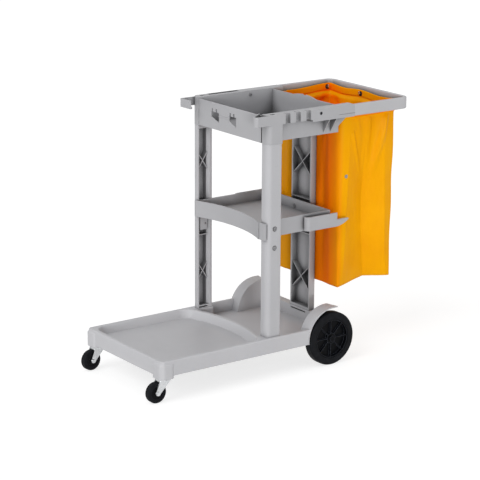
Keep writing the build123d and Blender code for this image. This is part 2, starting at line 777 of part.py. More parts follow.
with BuildPart() as middle_shelf:
    with BuildSketch(level(shelf_bottom_z)):
        shelf_plan(0)
    extrude(amount=shelf_top_z - shelf_bottom_z)
    with BuildSketch(level(shelf_floor_z)):
        shelf_plan(shelf_wall)
    extrude(amount=shelf_top_z - shelf_floor_z, mode=Mode.SUBTRACT)
    with BuildSketch(level(shelf_bottom_z)):
        shelf_plan(shelf_wall)
    extrude(amount=shelf_floor_z - shelf_floor - shelf_bottom_z, mode=Mode.SUBTRACT)
    ear_rear_x = upright_front_x - ear_gap
    ear_x = (ear_rear_x - ear_thickness, ear_rear_x)
    plug_x = (pocket_front_x + plug_front_clearance, pocket_rear_x - plug_rear_clearance)
    plug_z = (shelf_bottom_z - plug_drop, shelf_top_z - shelf_wall)
    for side, ear_reach in ((1, ear_reach_right), (-1, ear_reach_left)):
        # Ear in front of the upright and plug that fills the upright's pocket
        ear_y = sorted((side * (shelf_half_width - ear_overlap), side * (shelf_half_width + ear_reach)))
        block(ear_x, ear_y, (shelf_bottom_z, shelf_top_z))
        plug_y = sorted((side * shelf_half_width, side * (shelf_half_width + plug_reach)))
        block(plug_x, plug_y, plug_z)

        # Open trough outside the rear part of the wall, with a tongue behind it
        outer = side * (bracket_outer_y - bracket_wall / 2)
        mouth = side * (shelf_half_width + bracket_mouth + bracket_wall / 2)
        nose_x = bracket_front_x + bracket_nose
        with BuildSketch(level(bracket_bottom_z)):
            with BuildLine():
                straight = Line((bracket_rear_x, outer), (nose_x, outer))
                TangentArc(straight @ 1, (bracket_front_x + bracket_wall / 2, mouth), tangent=straight % 1)
            trace(line_width=bracket_wall)
        extrude(amount=bracket_top_z - bracket_bottom_z)
        trough_y = sorted((side * (shelf_half_width - shelf_wall / 2), outer))
        block((nose_x, bracket_rear_x), trough_y, (bracket_bottom_z, bracket_bottom_z + bracket_floor))
        block((bracket_rear_x - bracket_wall, bracket_rear_x), trough_y, (bracket_bottom_z, tongue_top_z))
        tongue_y = sorted((side * (bracket_outer_y - bracket_wall), side * bracket_outer_y))
        root_x = bracket_rear_x - bracket_wall
        tip = (tongue_tip_x, tongue_top_z - tongue_tip_radius)
        belly = (bracket_rear_x + tongue_belly_reach, bracket_bottom_z + tongue_belly_rise)
        heel = (bracket_rear_x, bracket_bottom_z)
        with BuildSketch(side_plane(tongue_y[1])):
            with BuildLine():
                top = Line((root_x, tongue_top_z), (tongue_tip_x - tongue_tip_radius, tongue_top_z))
                TangentArc(top @ 1, tip, tangent=top % 1)
                ThreePointArc(tip, belly, heel)
                Polyline(heel, (root_x, bracket_bottom_z), top @ 0)
            make_face()
        extrude(amount=bracket_wall)

    # Holes for the upright bolts, and a drilled boss for the screw into the rear upright
    for side in (1, -1):
        plug_face_y = side * (shelf_half_width + plug_reach) if side > 0 else -shelf_half_width
        drill_y([(upright_bolt_x, z) for z in upright_bolt_z], bolt_hole_radius, plug_face_y, plug_reach)
    with BuildSketch(cross_plane(shelf_rear_x)):
        with Locations((shelf_screw_y, shelf_screw_z)):
            Circle(shelf_boss_radius)
    extrude(amount=shelf_rear_gap)
    with BuildSketch(cross_plane(shelf_rear_x - shelf_wall)):
        with Locations((shelf_screw_y, shelf_screw_z)):
            Circle(bolt_hole_radius)
    extrude(amount=shelf_wall + shelf_rear_gap, mode=Mode.SUBTRACT)

# Top tray
with BuildPart() as top_tray:
    block((tray_front_x, tray_rear_x), (-tray_half_width, tray_half_width), (tray_bottom_z, tray_rim_z))
    for side in (1, -1):
        # Socket over the front upright, rim flange, and deeper block for the push frame
        flange_y = sorted((side * (tray_half_width - tray_wall), side * flange_outer_y))
        mid_x, length = span(upright_front_x - socket_proud, upright_rear_x + socket_proud)
        mid_y, width = span(*flange_y)
        with BuildSketch(level(upright_top_z)) as socket_plan:
            with Locations((mid_x, mid_y)):
                Rectangle(length, width)
            outer_corners = socket_plan.vertices().group_by(Axis.Y)[-1 if side > 0 else 0]
            fillet(outer_corners.sort_by(Axis.X)[0], upright_front_radius + socket_proud)
        extrude(amount=flange_top_z - upright_top_z)
        block((upright_mid_x, flange_rear_x), flange_y, (flange_bottom_z, flange_top_z))
        block((block_front_x + block_step, flange_rear_x), flange_y, (block_bottom_z, flange_top_z))

        # Web behind the tray and gusset ribs under the block
        web_y = sorted((side * (tray_half_width - tray_wall), side * tray_half_width))
        with BuildSketch(side_plane(web_y[1])):
            with BuildLine():
                Polyline((web_toe_x, tray_bottom_z), (flange_rear_x, block_bottom_z),
                         (web_toe_x, block_bottom_z), close=True)
            make_face()
        extrude(amount=tray_wall)
        for setback in gusset_setback:
            with BuildSketch(cross_plane(tray_rear_x - setback)):
                with BuildLine():
                    Polyline((side * (tray_half_width - tray_wall), tray_bottom_z),
                             (side * flange_outer_y, block_bottom_z),
                             (side * (tray_half_width - tray_wall), block_bottom_z), close=True)
                make_face()
            extrude(amount=gusset_thickness)

    # Loop ahead of the left socket: an outer wall that turns at its tip and slants back to the panel
    loop_y = flange_wall / 2 - flange_outer_y
    with BuildSketch(level(flange_bottom_z)):
        with BuildLine():
            straight = Line((upright_mid_x, loop_y), (holder_front_x + flange_wall / 2 + nose_radius, loop_y))
            bend = JernArc(straight @ 1, straight % 1, nose_radius, -nose_turn)
            Line(bend @ 1, (tray_front_x + tray_wall / 2, nose_return - tray_half_width))
        trace(line_width=flange_wall)
    extrude(amount=flange_top_z - flange_bottom_z)

    # Holder ahead of the right socket: an outer wall, a front plate and a short return
    holder_z = (flange_bottom_z, holder_top_z)
    block((holder_front_x, upright_mid_x), (flange_outer_y - holder_wall, flange_outer_y), holder_z)
    block((holder_front_x, holder_front_x + holder_wall), (holder_plate_inner_y, flange_outer_y), holder_z)
    block((holder_front_x, holder_front_x + holder_return),
          (holder_plate_inner_y, holder_plate_inner_y + holder_wall),
          (flange_bottom_z, flange_bottom_z + holder_return))

    # Collar under the floor for the top of the rear upright
    block((rear_upright_x - collar_wall, rear_upright_back_x + collar_wall),
          (-rear_upright_half_width - collar_wall, rear_upright_half_width + collar_wall),
          (tray_bottom_z - collar_height, tray_bottom_z + tray_floor))
    with BuildSketch(level(tray_bottom_z - collar_height)):
        with Locations((rear_mid_x, 0)):
            Rectangle(rear_upright_depth + 2 * collar_clearance,
                      2 * (rear_upright_half_width + collar_clearance))
    extrude(amount=collar_height, mode=Mode.SUBTRACT)

    # Arched top of the rear wall with a small notch
    with BuildSketch(cross_plane(tray_rear_x - tray_wall)):
        with BuildLine():
            ThreePointArc((-arch_half_width, tray_rim_z), (0, tray_rim_z + arch_rise),
                          (arch_half_width, tray_rim_z))
            Line((arch_half_width, tray_rim_z), (-arch_half_width, tray_rim_z))
        make_face()
        with Locations((0, tray_rim_z + arch_rise)):
            Rectangle(notch_width, 2 * notch_depth, mode=Mode.SUBTRACT)
    extrude(amount=tray_wall)

    # Inside of the tray, and a thick corner with an open groove at the left end of the front panel
    block((tray_front_x + tray_wall, tray_rear_x - tray_wall),
          (-tray_half_width + tray_wall, tray_half_width - tray_wall),
          (tray_bottom_z + tray_floor, flange_top_z + part_gap), Mode.SUBTRACT)
    groove_y = (-tray_half_width, -tray_half_width + groove_width)
    block((tray_front_x, tray_front_x + groove_depth + tray_wall), (groove_y[0], groove_y[1] + tray_wall),
          (tray_bottom_z, tray_rim_z))
    block((upright_front_x - part_gap - socket_proud, tray_front_x + groove_depth), groove_y,
          (upright_top_z, flange_bottom_z), Mode.SUBTRACT)

    # Windows in the front panel, with two ticks above each, and the bar between them
    with BuildSketch(cross_plane(tray_front_x)):
        for low_y, high_y in window_y:
            with BuildLine():
                Polyline((high_y, window_top_z), (low_y, window_top_z), (low_y, window_bottom_z),
                         (high_y, window_bottom_z + window_slant), close=True)
            make_face()
            tick_y = [high_y - share * (high_y - low_y) for share in window_tick_share]
            with Locations(*[(y, window_top_z) for y in tick_y]):
                Rectangle(window_tick_width, 2 * window_tick_height)
    extrude(amount=tray_wall, mode=Mode.SUBTRACT)
    with BuildSketch(cross_plane(tray_front_x)):
        mid, length = span(window_y[1][1], window_y[0][0])
        with Locations((mid, clip_bar_z)):
            Rectangle(length, clip_bar_height)
    extrude(amount=-clip_bar_proud)

    # Handle slots along the left rim
    with BuildSketch(level(flange_bottom_z)):
        with Locations(*[(comb_first_x + i * comb_pitch, -flange_outer_y + comb_depth - comb_width / 2)
                         for i in range(comb_count)]):
            Circle(comb_width / 2)
        with Locations(*[(comb_first_x + i * comb_pitch, -flange_outer_y)
                         for i in range(comb_count)]):
            Rectangle(comb_width, 2 * (comb_depth - comb_width / 2))
    extrude(amount=flange_top_z - flange_bottom_z, mode=Mode.SUBTRACT)

    # Long trough in the right rim, and an oval hole over each front socket
    trough_side_y = flange_outer_y - trough_outer_wall
    block((trough_front_x, trough_rear_x), (trough_side_y - trough_width, trough_side_y),
          (flange_top_z - trough_depth, flange_top_z), Mode.SUBTRACT)
    with BuildSketch(level(flange_top_z)):
        with Locations((upright_mid_x, upright_mid_y), (upright_mid_x, -upright_mid_y)):
            SlotOverall(top_hole_length, top_hole_width)
    extrude(amount=-flange_wall, mode=Mode.SUBTRACT)

    for side in (1, -1):
        # Hollow socket for the upright's spigot, channel for the push frame, and the frame bolt's hole
        with BuildSketch(level(upright_top_z)):
            with Locations((upright_mid_x, side * upright_mid_y)):
                Rectangle(spigot_length + 2 * spigot_clearance, spigot_width + 2 * spigot_clearance)
        extrude(amount=flange_top_z - flange_wall - upright_top_z, mode=Mode.SUBTRACT)
        channel_inner_y = frame_inner_y - tenon_clearance
        channel_y = sorted((side * channel_inner_y, side * (flange_outer_y - flange_wall)))
        block((frame_tenon_x - part_gap, flange_rear_x), channel_y,
              (block_bottom_z, flange_top_z - flange_wall), Mode.SUBTRACT)
        hollow_y = sorted((side * tray_half_width, side * (channel_inner_y - flange_wall)))
        block((frame_tenon_x - part_gap, flange_rear_x - flange_wall), hollow_y,
              (block_bottom_z, flange_top_z - flange_wall), Mode.SUBTRACT)
        wall_faces = ((flange_outer_y, flange_wall, frame_bolt_hole / 2),
                      (channel_inner_y, channel_inner_y - tray_half_width + tray_wall, bolt_hole_radius))
        for face_y, depth, radius in wall_faces:
            start_y = face_y if side > 0 else -face_y + depth
            drill_y([(frame_bolt_x, frame_bolt_z)], radius, start_y, depth)

        # Fine parting line along the outer face, over the push frame's arm
        seam_y = sorted((side * (flange_outer_y - seam_depth), side * flange_outer_y))
        block((flange_rear_x - seam_length, flange_rear_x), seam_y,
              (seam_z, seam_z + seam_height), Mode.SUBTRACT)

# Push frame
with BuildPart() as bag_frame:
    with BuildSketch(level(frame_bottom_z)) as frame_plan:
        mid, length = span(frame_tenon_x, frame_rear_x)
        with Locations((mid, 0)):
            Rectangle(length, 2 * flange_outer_y)
        fillet(frame_plan.vertices().group_by(Axis.X)[-1], frame_corner_radius)
        with BuildSketch(level(frame_bottom_z), mode=Mode.PRIVATE) as frame_inside:
            mid, length = span(frame_tenon_x, frame_inner_x)
            with Locations((mid, 0)):
                Rectangle(length, 2 * frame_inner_y)
            fillet(frame_inside.vertices().group_by(Axis.X)[-1], frame_corner_radius - frame_thickness)
        add(frame_inside.sketch_local, mode=Mode.SUBTRACT)
    extrude(amount=flange_top_z - frame_bottom_z)
    long_edges = bag_frame.faces().filter_by(Axis.Z).edges()
    fillet(long_edges.filter_by_position(Axis.X, frame_tenon_x + part_gap, frame_rear_x), frame_rounding)
    tenon_x = (frame_tenon_x, flange_rear_x + tenon_clearance)
    block(tenon_x, (-flange_outer_y, -tenon_outer_y), (frame_bottom_z, flange_top_z), Mode.SUBTRACT)
    block(tenon_x, (tenon_outer_y, flange_outer_y), (frame_bottom_z, flange_top_z), Mode.SUBTRACT)
    block(tenon_x, (-flange_outer_y, flange_outer_y),
          (flange_top_z - flange_wall - tenon_clearance, flange_top_z), Mode.SUBTRACT)
    drill_y([(frame_bolt_x, frame_bolt_z)], bolt_hole_radius, flange_outer_y, 2 * flange_outer_y)

# Waste bag: a slack tub with an open top and a wider hem that hangs on the hooks
def bag_outline(rear_x, half, inset):
    """Plan of the bag at one height: the front keeps its width and the rest may be wider."""
    cheek_x = flange_rear_x + hem_cheek_gap
    right_side = [(bag_front_x + inset, bag_half_width - inset), (cheek_x, bag_half_width - inset),
                  (cheek_x + hem_cheek_run, half - inset), (rear_x - inset, half - inset)]
    left_side = [(x, -y) for x, y in reversed(right_side)]
    with BuildLine() as outline:
        Polyline(*right_side, *left_side, close=True)
    make_face(outline.edges())


def bag_body(inset):
    """Closed body of the bag, or of the space inside it when inset is the wall."""
    with BuildPart() as body:
        with BuildSketch(level(bag_bottom_z + inset)):
            bag_outline(bag_rear_x, bag_half_width, inset)
        extrude(amount=flare_bottom_z - bag_bottom_z - inset)
        with BuildSketch(level(flare_bottom_z)):
            bag_outline(bag_rear_x, bag_half_width, inset)
        with BuildSketch(level(hem_bottom_z)):
            bag_outline(hem_rear_x, hem_half_width, inset)
        loft(ruled=True)
        with BuildSketch(level(hem_bottom_z)):
            bag_outline(hem_rear_x, hem_half_width, inset)
        extrude(amount=bag_top_z - hem_bottom_z)
    return body.part


with BuildPart() as bag_stud:
    with BuildSketch(side_plane(-bag_half_width)):
        with Locations((stud_x, stud_z)):
            Circle(stud_radius)
    extrude(amount=stud_height)

# Hooks: place of the carrying face and the direction that the peg points
side_hook = [(Vector(hook_side_x, side * frame_inner_y, hook_z), Vector(0, -side, 0)) for side in (1, -1)]
rear_hook = [(Vector(frame_inner_x, hook_rear_y, hook_z), Vector(-1, 0, 0))]
front_hook = [(Vector(tray_rear_x, side * hook_front_y, hook_z), Vector(1, 0, 0)) for side in (1, -1)]
hem_face = {"side": frame_inner_y - hem_half_width, "rear": frame_inner_x - hem_rear_x,
            "front": bag_front_x - tray_rear_x}
hooks = [(place, way, hem_face["side"]) for place, way in side_hook]
hooks += [(place, way, hem_face["rear"]) for place, way in rear_hook]
hooks += [(place, way, hem_face["front"]) for place, way in front_hook]

with BuildPart() as waste_bag:
    add(bag_body(0))
    add(bag_body(bag_wall), mode=Mode.SUBTRACT)
    for place, way, reach in hooks:
        with BuildSketch(Plane(place + way * reach, z_dir=way)):
            Circle(eyelet_bore + eyelet_leaf + eyelet_clearance)
        extrude(amount=bag_wall, mode=Mode.SUBTRACT)

with BuildPart() as bag_hooks:
    for place, way, reach in hooks:
        with BuildSketch(Plane(place, z_dir=way)):
            Circle(hook_radius)
        extrude(amount=reach + bag_wall + hook_past)
        tip = place + way * (reach + bag_wall + hook_past - hook_radius)
        with BuildSketch(Plane(tip, z_dir=(0, 0, 1))):
            Circle(hook_radius)
        extrude(amount=hook_tip)

with BuildPart() as bag_eyelets:
    for place, way, reach in hooks:
        outer_face = place + way * (reach - eyelet_leaf)
        with BuildSketch(Plane(outer_face, z_dir=way)):
            Circle(eyelet_flange)
            Circle(eyelet_bore, mode=Mode.SUBTRACT)
        extrude(amount=eyelet_leaf)
        with BuildSketch(Plane(outer_face, z_dir=way)):
            Circle(eyelet_bore + eyelet_leaf)
            Circle(eyelet_bore, mode=Mode.SUBTRACT)
        extrude(amount=bag_wall + 2 * eyelet_leaf)
        with BuildSketch(Plane(outer_face + way * (bag_wall + eyelet_leaf), z_dir=way)):
            Circle(eyelet_flange)
            Circle(eyelet_bore, mode=Mode.SUBTRACT)
        extrude(amount=eyelet_leaf)

# Rear axle and wheels
axle_line = Axis((axle_x, 0, axle_z), (0, 1, 0))
cap_inner_y = rear_hub_outer_y + part_gap
axle_end_y = cap_inner_y + axle_grip

with BuildPart() as rear_axle:
    with BuildSketch(side_plane(axle_end_y)):
        with Locations((axle_x, axle_z)):
            Circle(axle_radius)
    extrude(amount=2 * axle_end_y)

with BuildPart() as axle_spacers:
    with BuildSketch(side_plane(rear_hub_inner_y - part_gap)):
        with Locations((axle_x, axle_z)):
            Circle(axle_radius + rear_bush_wall)
            Circle(axle_radius, mode=Mode.SUBTRACT)
    extrude(amount=rear_hub_inner_y - part_gap - housing_y)
    mirror(about=Plane.XZ)

with BuildPart() as axle_caps:
    with BuildSketch(side_plane(cap_inner_y + axle_cap_thickness)):
        with Locations((axle_x, axle_z)):
            Circle(axle_cap_radius)
    extrude(amount=axle_cap_thickness)
    with BuildSketch(side_plane(cap_inner_y + axle_grip)):
        with Locations((axle_x, axle_z)):
            Circle(axle_radius)
    extrude(amount=axle_grip, mode=Mode.SUBTRACT)
    mirror(about=Plane.XZ)


def ring_profile(inner, outer, low_y, high_y):
    """Rectangle of a ring about the axle, drawn on the level plane through the axle."""
    mid_r, width = span(inner, outer)
    mid_y, length = span(low_y, high_y)
    with Locations((axle_x + mid_r, mid_y)):
        Rectangle(width, length)


with BuildPart() as rear_wheel_right:
    bush_outer = axle_radius + rear_bush_wall
    with BuildSketch(level(axle_z)):
        ring_profile(bush_outer, rear_hub_radius, rear_hub_inner_y, rear_hub_outer_y)
        ring_profile(bush_outer, rear_rim_radius, rear_web_y - rear_web_thickness, rear_web_y)
        ring_profile(rear_rim_radius - rear_rim_wall, rear_rim_radius,
                     rear_wheel_inner_y + rear_rim_inset, rear_wheel_face_y - rear_rim_inset)
    revolve(axis=axle_line)
    spoke_root = rear_hub_radius - rear_spoke_thickness
    spoke_mid, spoke_length = span(spoke_root, rear_rim_radius - rear_rim_wall / 2)
    with BuildSketch(side_plane(rear_web_y + rear_spoke_depth)):
        with Locations((axle_x, axle_z)):
            with PolarLocations(spoke_mid, rear_spoke_count):
                Rectangle(spoke_length, rear_spoke_thickness)
    extrude(amount=rear_spoke_depth)

with BuildPart() as rear_wheel_left:
    mirror(rear_wheel_right.part, about=Plane.XZ)

with BuildPart() as rear_tyre_right:
    with BuildSketch(level(axle_z)) as tyre_section:
        ring_profile(rear_rim_radius, axle_z, rear_wheel_inner_y, rear_wheel_face_y)
        fillet(tyre_section.vertices().group_by(Axis.X)[-1], rear_tyre_shoulder)
    revolve(axis=axle_line)

with BuildPart() as rear_tyre_left:
    mirror(rear_tyre_right.part, about=Plane.XZ)

with BuildPart() as rear_bush_right:
    with BuildSketch(level(axle_z)):
        ring_profile(axle_radius + running_clearance, bush_outer, rear_hub_inner_y, rear_hub_outer_y)
    revolve(axis=axle_line)

with BuildPart() as rear_bush_left:
    mirror(rear_bush_right.part, about=Plane.XZ)

# Casters, drawn about their swivel axis with the wheel trailing towards -X
caster_line = Axis((-caster_trail, 0, caster_radius), (0, 1, 0))
leg_y = (caster_leg_inner_y, -caster_leg_outer_y)
screw_places = GridLocations(caster_screw_pitch_x, caster_screw_pitch_y, 2, 2)

with BuildPart() as caster_plate:
    with BuildSketch(level(plate_bottom_z)):
        RectangleRounded(caster_plate_length, caster_plate_width, caster_plate_corner)
        with screw_places:
            Circle(bolt_hole_radius, mode=Mode.SUBTRACT)
    extrude(amount=caster_plate_thickness)
    rivet_top_z = crown_bottom_z - part_gap
    for low, high, radius in ((race_bottom_z, plate_bottom_z, caster_race_radius),
                              (rivet_top_z, race_bottom_z, caster_kingpin_radius),
                              (rivet_top_z - caster_rivet_height, rivet_top_z, caster_rivet_radius)):
        with BuildSketch(level(low)):
            Circle(radius)
        extrude(amount=high - low)

with BuildPart() as caster_bearing:
    with BuildSketch(level(crown_top_z)):
        Circle(caster_bearing_radius)
        Circle(caster_bearing_bore, mode=Mode.SUBTRACT)
    extrude(amount=caster_bearing_height)

with BuildPart() as caster_fork:
    with BuildSketch(level(crown_bottom_z)):
        Circle(caster_crown_radius)
        Rectangle(caster_leg_top, 2 * caster_leg_outer_y)
    extrude(amount=caster_crown_thickness)
    for y in leg_y:
        with BuildSketch(side_plane(y + caster_leg_thickness)):
            with Locations((-caster_trail, caster_radius)):
                Circle(caster_leg_boss)
            with Locations((0, crown_top_z - caster_crown_thickness / 2)):
                Rectangle(caster_leg_top, caster_crown_thickness)
            make_hull()
        extrude(amount=caster_leg_thickness)
    with BuildSketch(level(crown_bottom_z)):
        Circle(caster_kingpin_radius + running_clearance)
    extrude(amount=caster_crown_thickness, mode=Mode.SUBTRACT)
    drill_y([(-caster_trail, caster_radius)], caster_axle_radius + bolt_hole_clearance,
            caster_leg_outer_y, 2 * caster_leg_outer_y)

with BuildPart() as caster_bolt:
    shank_end_y = caster_leg_outer_y + bolt_head_height
    with BuildSketch(side_plane(shank_end_y)):
        with Locations((-caster_trail, caster_radius)):
            Circle(caster_axle_radius)
    extrude(amount=2 * shank_end_y - bolt_head_height)
    with BuildSketch(side_plane(-caster_leg_outer_y)):
        with Locations((-caster_trail, caster_radius)):
            Circle(bolt_head_radius)
    extrude(amount=bolt_head_height)

with BuildPart() as caster_nut:
    with BuildSketch(side_plane(caster_leg_outer_y + bolt_head_height)):
        with Locations((-caster_trail, caster_radius)):
            RegularPolygon(bolt_head_radius, 6)
            Circle(caster_axle_radius, mode=Mode.SUBTRACT)
    extrude(amount=bolt_head_height)


def caster_ring(inner, outer, width, shoulder=0):
    """Ring about the caster's axle, with its two outer corners rounded by shoulder."""
    mid, depth = span(inner, outer)
    with BuildPart() as ring:
        with BuildSketch(level(caster_radius)) as section:
            with Locations((mid - caster_trail, 0)):
                Rectangle(depth, width)
            if shoulder:
                fillet(section.vertices().group_by(Axis.X)[-1], shoulder)
        revolve(axis=caster_line)
    return ring.part


with BuildPart() as caster_screws:
    for place in screw_places:
        seat = Vector(place.position.X, place.position.Y, plate_bottom_z)
        add(bolt(Plane(seat, z_dir=(0, 0, -1)), caster_screw_grip, caster_screw_head))

caster_fixed = {
    "caster_plate": caster_plate.part,
    "caster_screws": caster_screws.part,
}
caster_turning = {
    "caster_bearing": caster_bearing.part,
    "caster_fork": caster_fork.part,
    "caster_bolt": caster_bolt.part,
    "caster_nut": caster_nut.part,
    "caster_bush": caster_ring(caster_bore_radius, caster_bush_radius, caster_bush_width),
    "caster_wheel": caster_ring(caster_bush_radius, caster_core_radius, caster_core_width),
    "caster_tyre": caster_ring(caster_core_radius, caster_radius, caster_tread_width,
                               caster_tread_shoulder),
}
caster_places = {"left": (-caster_stem_y, caster_turn_left), "right": (caster_stem_y, caster_turn_right)}


# Fasteners
with BuildPart() as upright_bolts:
    for side in (1, -1):
        for z in upright_bolt_z:
            seat_y = side * (upright_outer_y - bolt_seat_depth)
            add(bolt(Plane((upright_bolt_x, seat_y, z), z_dir=(0, side, 0)), bolt_grip))

with BuildPart() as shelf_screw:
    screw_seat = (shelf_rear_x - shelf_wall, shelf_screw_y, shelf_screw_z)
    add(bolt(Plane(screw_seat, z_dir=(-1, 0, 0)), shelf_wall + shelf_rear_gap + shelf_screw_bite))

with BuildPart() as frame_bolts:
    for side in (1, -1):
        seat = Plane((frame_bolt_x, side * tenon_outer_y, frame_bolt_z), z_dir=(0, side, 0))
        add(bolt(seat, tenon_outer_y - nut_end_y, frame_bolt_hole / 2 - tenon_clearance))

with BuildPart() as frame_nuts:
    for y in (nut_end_y + bolt_head_height, -nut_end_y):
        with BuildSketch(side_plane(y)):
            with Locations((frame_bolt_x, frame_bolt_z)):
                RegularPolygon(bolt_head_radius, 6)
                Circle(bolt_radius, mode=Mode.SUBTRACT)
        extrude(amount=bolt_head_height)

pieces = {
    "base_platform": base_platform.part,
    "front_upright_left": front_upright_left.part,
    "front_upright_right": front_upright_right.part,
    "rear_upright": rear_upright.part,
    "middle_shelf": middle_shelf.part,
    "top_tray": top_tray.part,
    "bag_frame": bag_frame.part,
    "bag_hooks": bag_hooks.part,
    "bag_eyelets": bag_eyelets.part,
    "waste_bag": waste_bag.part,
    "bag_stud": bag_stud.part,
    "rear_axle": rear_axle.part,
    "axle_spacers": axle_spacers.part,
    "axle_caps": axle_caps.part,
    "rear_wheel_left": rear_wheel_left.part,
    "rear_wheel_right": rear_wheel_right.part,
    "rear_tyre_left": rear_tyre_left.part,
    "rear_tyre_right": rear_tyre_right.part,
    "rear_bush_left": rear_bush_left.part,
    "rear_bush_right": rear_bush_right.part,
    "upright_bolts": upright_bolts.part,
    "shelf_screw": shelf_screw.part,
    "frame_bolts": frame_bolts.part,
    "frame_nuts": frame_nuts.part,
}
for side_name, (stem_y, turn) in caster_places.items():
    stem = Location((caster_stem_x, stem_y, 0))
    for name, piece in caster_fixed.items():
        pieces[f"{name}_{side_name}"] = piece.moved(stem)
    for name, piece in caster_turning.items():
        pieces[f"{name}_{side_name}"] = piece.moved(stem * Location((0, 0, 0), (0, 0, turn)))

for name, piece in pieces.items():
    piece.label = name
    export_step(piece, f"parts/{name}.step")
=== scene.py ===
# %% [markdown]
# # Dressing a janitorial cart
# The packed model holds the cart's construction: platform, uprights, shelf, tray, push frame, wheels and
# casters. This lesson gives each surface its finish and hangs a soft waste bag on the push frame.
# Everything is in metres, in the cart's own frame: +Z is up, +X points to the push bar, and -Y is the
# cart's left side.

# %% Load the cart as a fixed frame
import json
import math

import bmesh
import bpy
from mathutils import Matrix, Vector, noise


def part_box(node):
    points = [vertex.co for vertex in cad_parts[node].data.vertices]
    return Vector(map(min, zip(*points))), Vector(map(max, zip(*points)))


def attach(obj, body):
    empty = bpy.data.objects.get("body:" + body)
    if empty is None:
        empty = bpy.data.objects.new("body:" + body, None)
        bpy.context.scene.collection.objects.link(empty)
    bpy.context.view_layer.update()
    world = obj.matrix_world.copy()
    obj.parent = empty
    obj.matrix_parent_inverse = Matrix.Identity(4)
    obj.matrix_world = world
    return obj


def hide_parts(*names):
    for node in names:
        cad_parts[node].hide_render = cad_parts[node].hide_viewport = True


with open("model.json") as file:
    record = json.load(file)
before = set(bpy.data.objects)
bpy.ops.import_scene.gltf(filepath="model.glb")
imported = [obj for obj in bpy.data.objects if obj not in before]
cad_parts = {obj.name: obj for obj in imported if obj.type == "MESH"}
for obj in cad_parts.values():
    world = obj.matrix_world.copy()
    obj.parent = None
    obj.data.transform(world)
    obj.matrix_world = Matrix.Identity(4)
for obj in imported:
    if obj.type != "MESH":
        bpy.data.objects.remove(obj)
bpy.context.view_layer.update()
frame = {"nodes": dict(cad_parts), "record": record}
scene = bpy.context.scene

# %% [markdown]
# ## Camera
# A product photo like this one is taken from far away with a long lens, so that upright edges stay nearly
# parallel. The camera stands ahead of the cart on its left side, looks down on it by about fifteen
# degrees, and leans by a third of a degree, as a camera held level by eye does. A constraint could aim it
# at the cart, but not lean it. Turning, tilting and leaning are three plain rotations, and multiplying
# their matrices keeps them in that order.

# %% Camera
CAMERA_PLACE = Vector((-4.0257, -5.5269, 2.3142))
CAMERA_TURN = math.radians(-35.912)
CAMERA_DOWN = math.radians(15.168)
CAMERA_LEAN = math.radians(0.304)
LENS_MM = 143.11
SENSOR_MM = 36.0
FARTHEST_SEEN = 100.0

camera_data = bpy.data.cameras.new("camera")
camera_data.lens = LENS_MM
camera_data.sensor_width = SENSOR_MM
camera_data.clip_end = FARTHEST_SEEN
camera = bpy.data.objects.new("camera", camera_data)
turned = Matrix.Rotation(CAMERA_TURN, 4, "Z")
tilted = Matrix.Rotation(math.pi / 2 - CAMERA_DOWN, 4, "X")
leaning = Matrix.Rotation(CAMERA_LEAN, 4, "Z")
camera.matrix_world = Matrix.Translation(CAMERA_PLACE) @ turned @ tilted @ leaning
scene.collection.objects.link(camera)
scene.camera = camera
print("camera", [round(v, 3) for v in CAMERA_PLACE], "lens", LENS_MM)

# %% [markdown]
# ## Colours
# Colours are easiest to judge as the 0 to 255 values of a screen, while shaders work with linear light.
# They could be written as linear values at once, but then nobody could picture them. So one function turns
# screen values into linear ones, and another makes a colour lighter or darker without changing its hue.


# %% Colours
def linear(red, green, blue):
    """Colour from 0-255 display values, as the linear colour that shaders use."""

    def channel(value):
        value /= 255
        return value / 12.92 if value <= 0.04045 else ((value + 0.055) / 1.055) ** 2.4

    return (channel(red), channel(green), channel(blue), 1.0)


def shade(colour, factor):
    """The same colour, lighter or darker by a factor."""
    return tuple(channel * factor for channel in colour[:3]) + (1.0,)


PLAIN_WHITE = (1.0, 1.0, 1.0, 1.0)
PLAIN_BLACK = (0.0, 0.0, 0.0, 1.0)
print("half of screen white in linear light", round(linear(128, 128, 128)[0], 3))

# %% [markdown]
# ## Patterns
# A moulded, cast or woven surface is never one even tone, so each finish starts from a pattern: a noise, a
# row of threads, or simply the place on the cart. Every node could be wired by hand in each material. Small
# helpers that add one node and return its output keep each material short enough to read at a glance.

# %% Patterns
THREAD_WAVER = 0.6
THREAD_WAVER_SCALE = 0.5


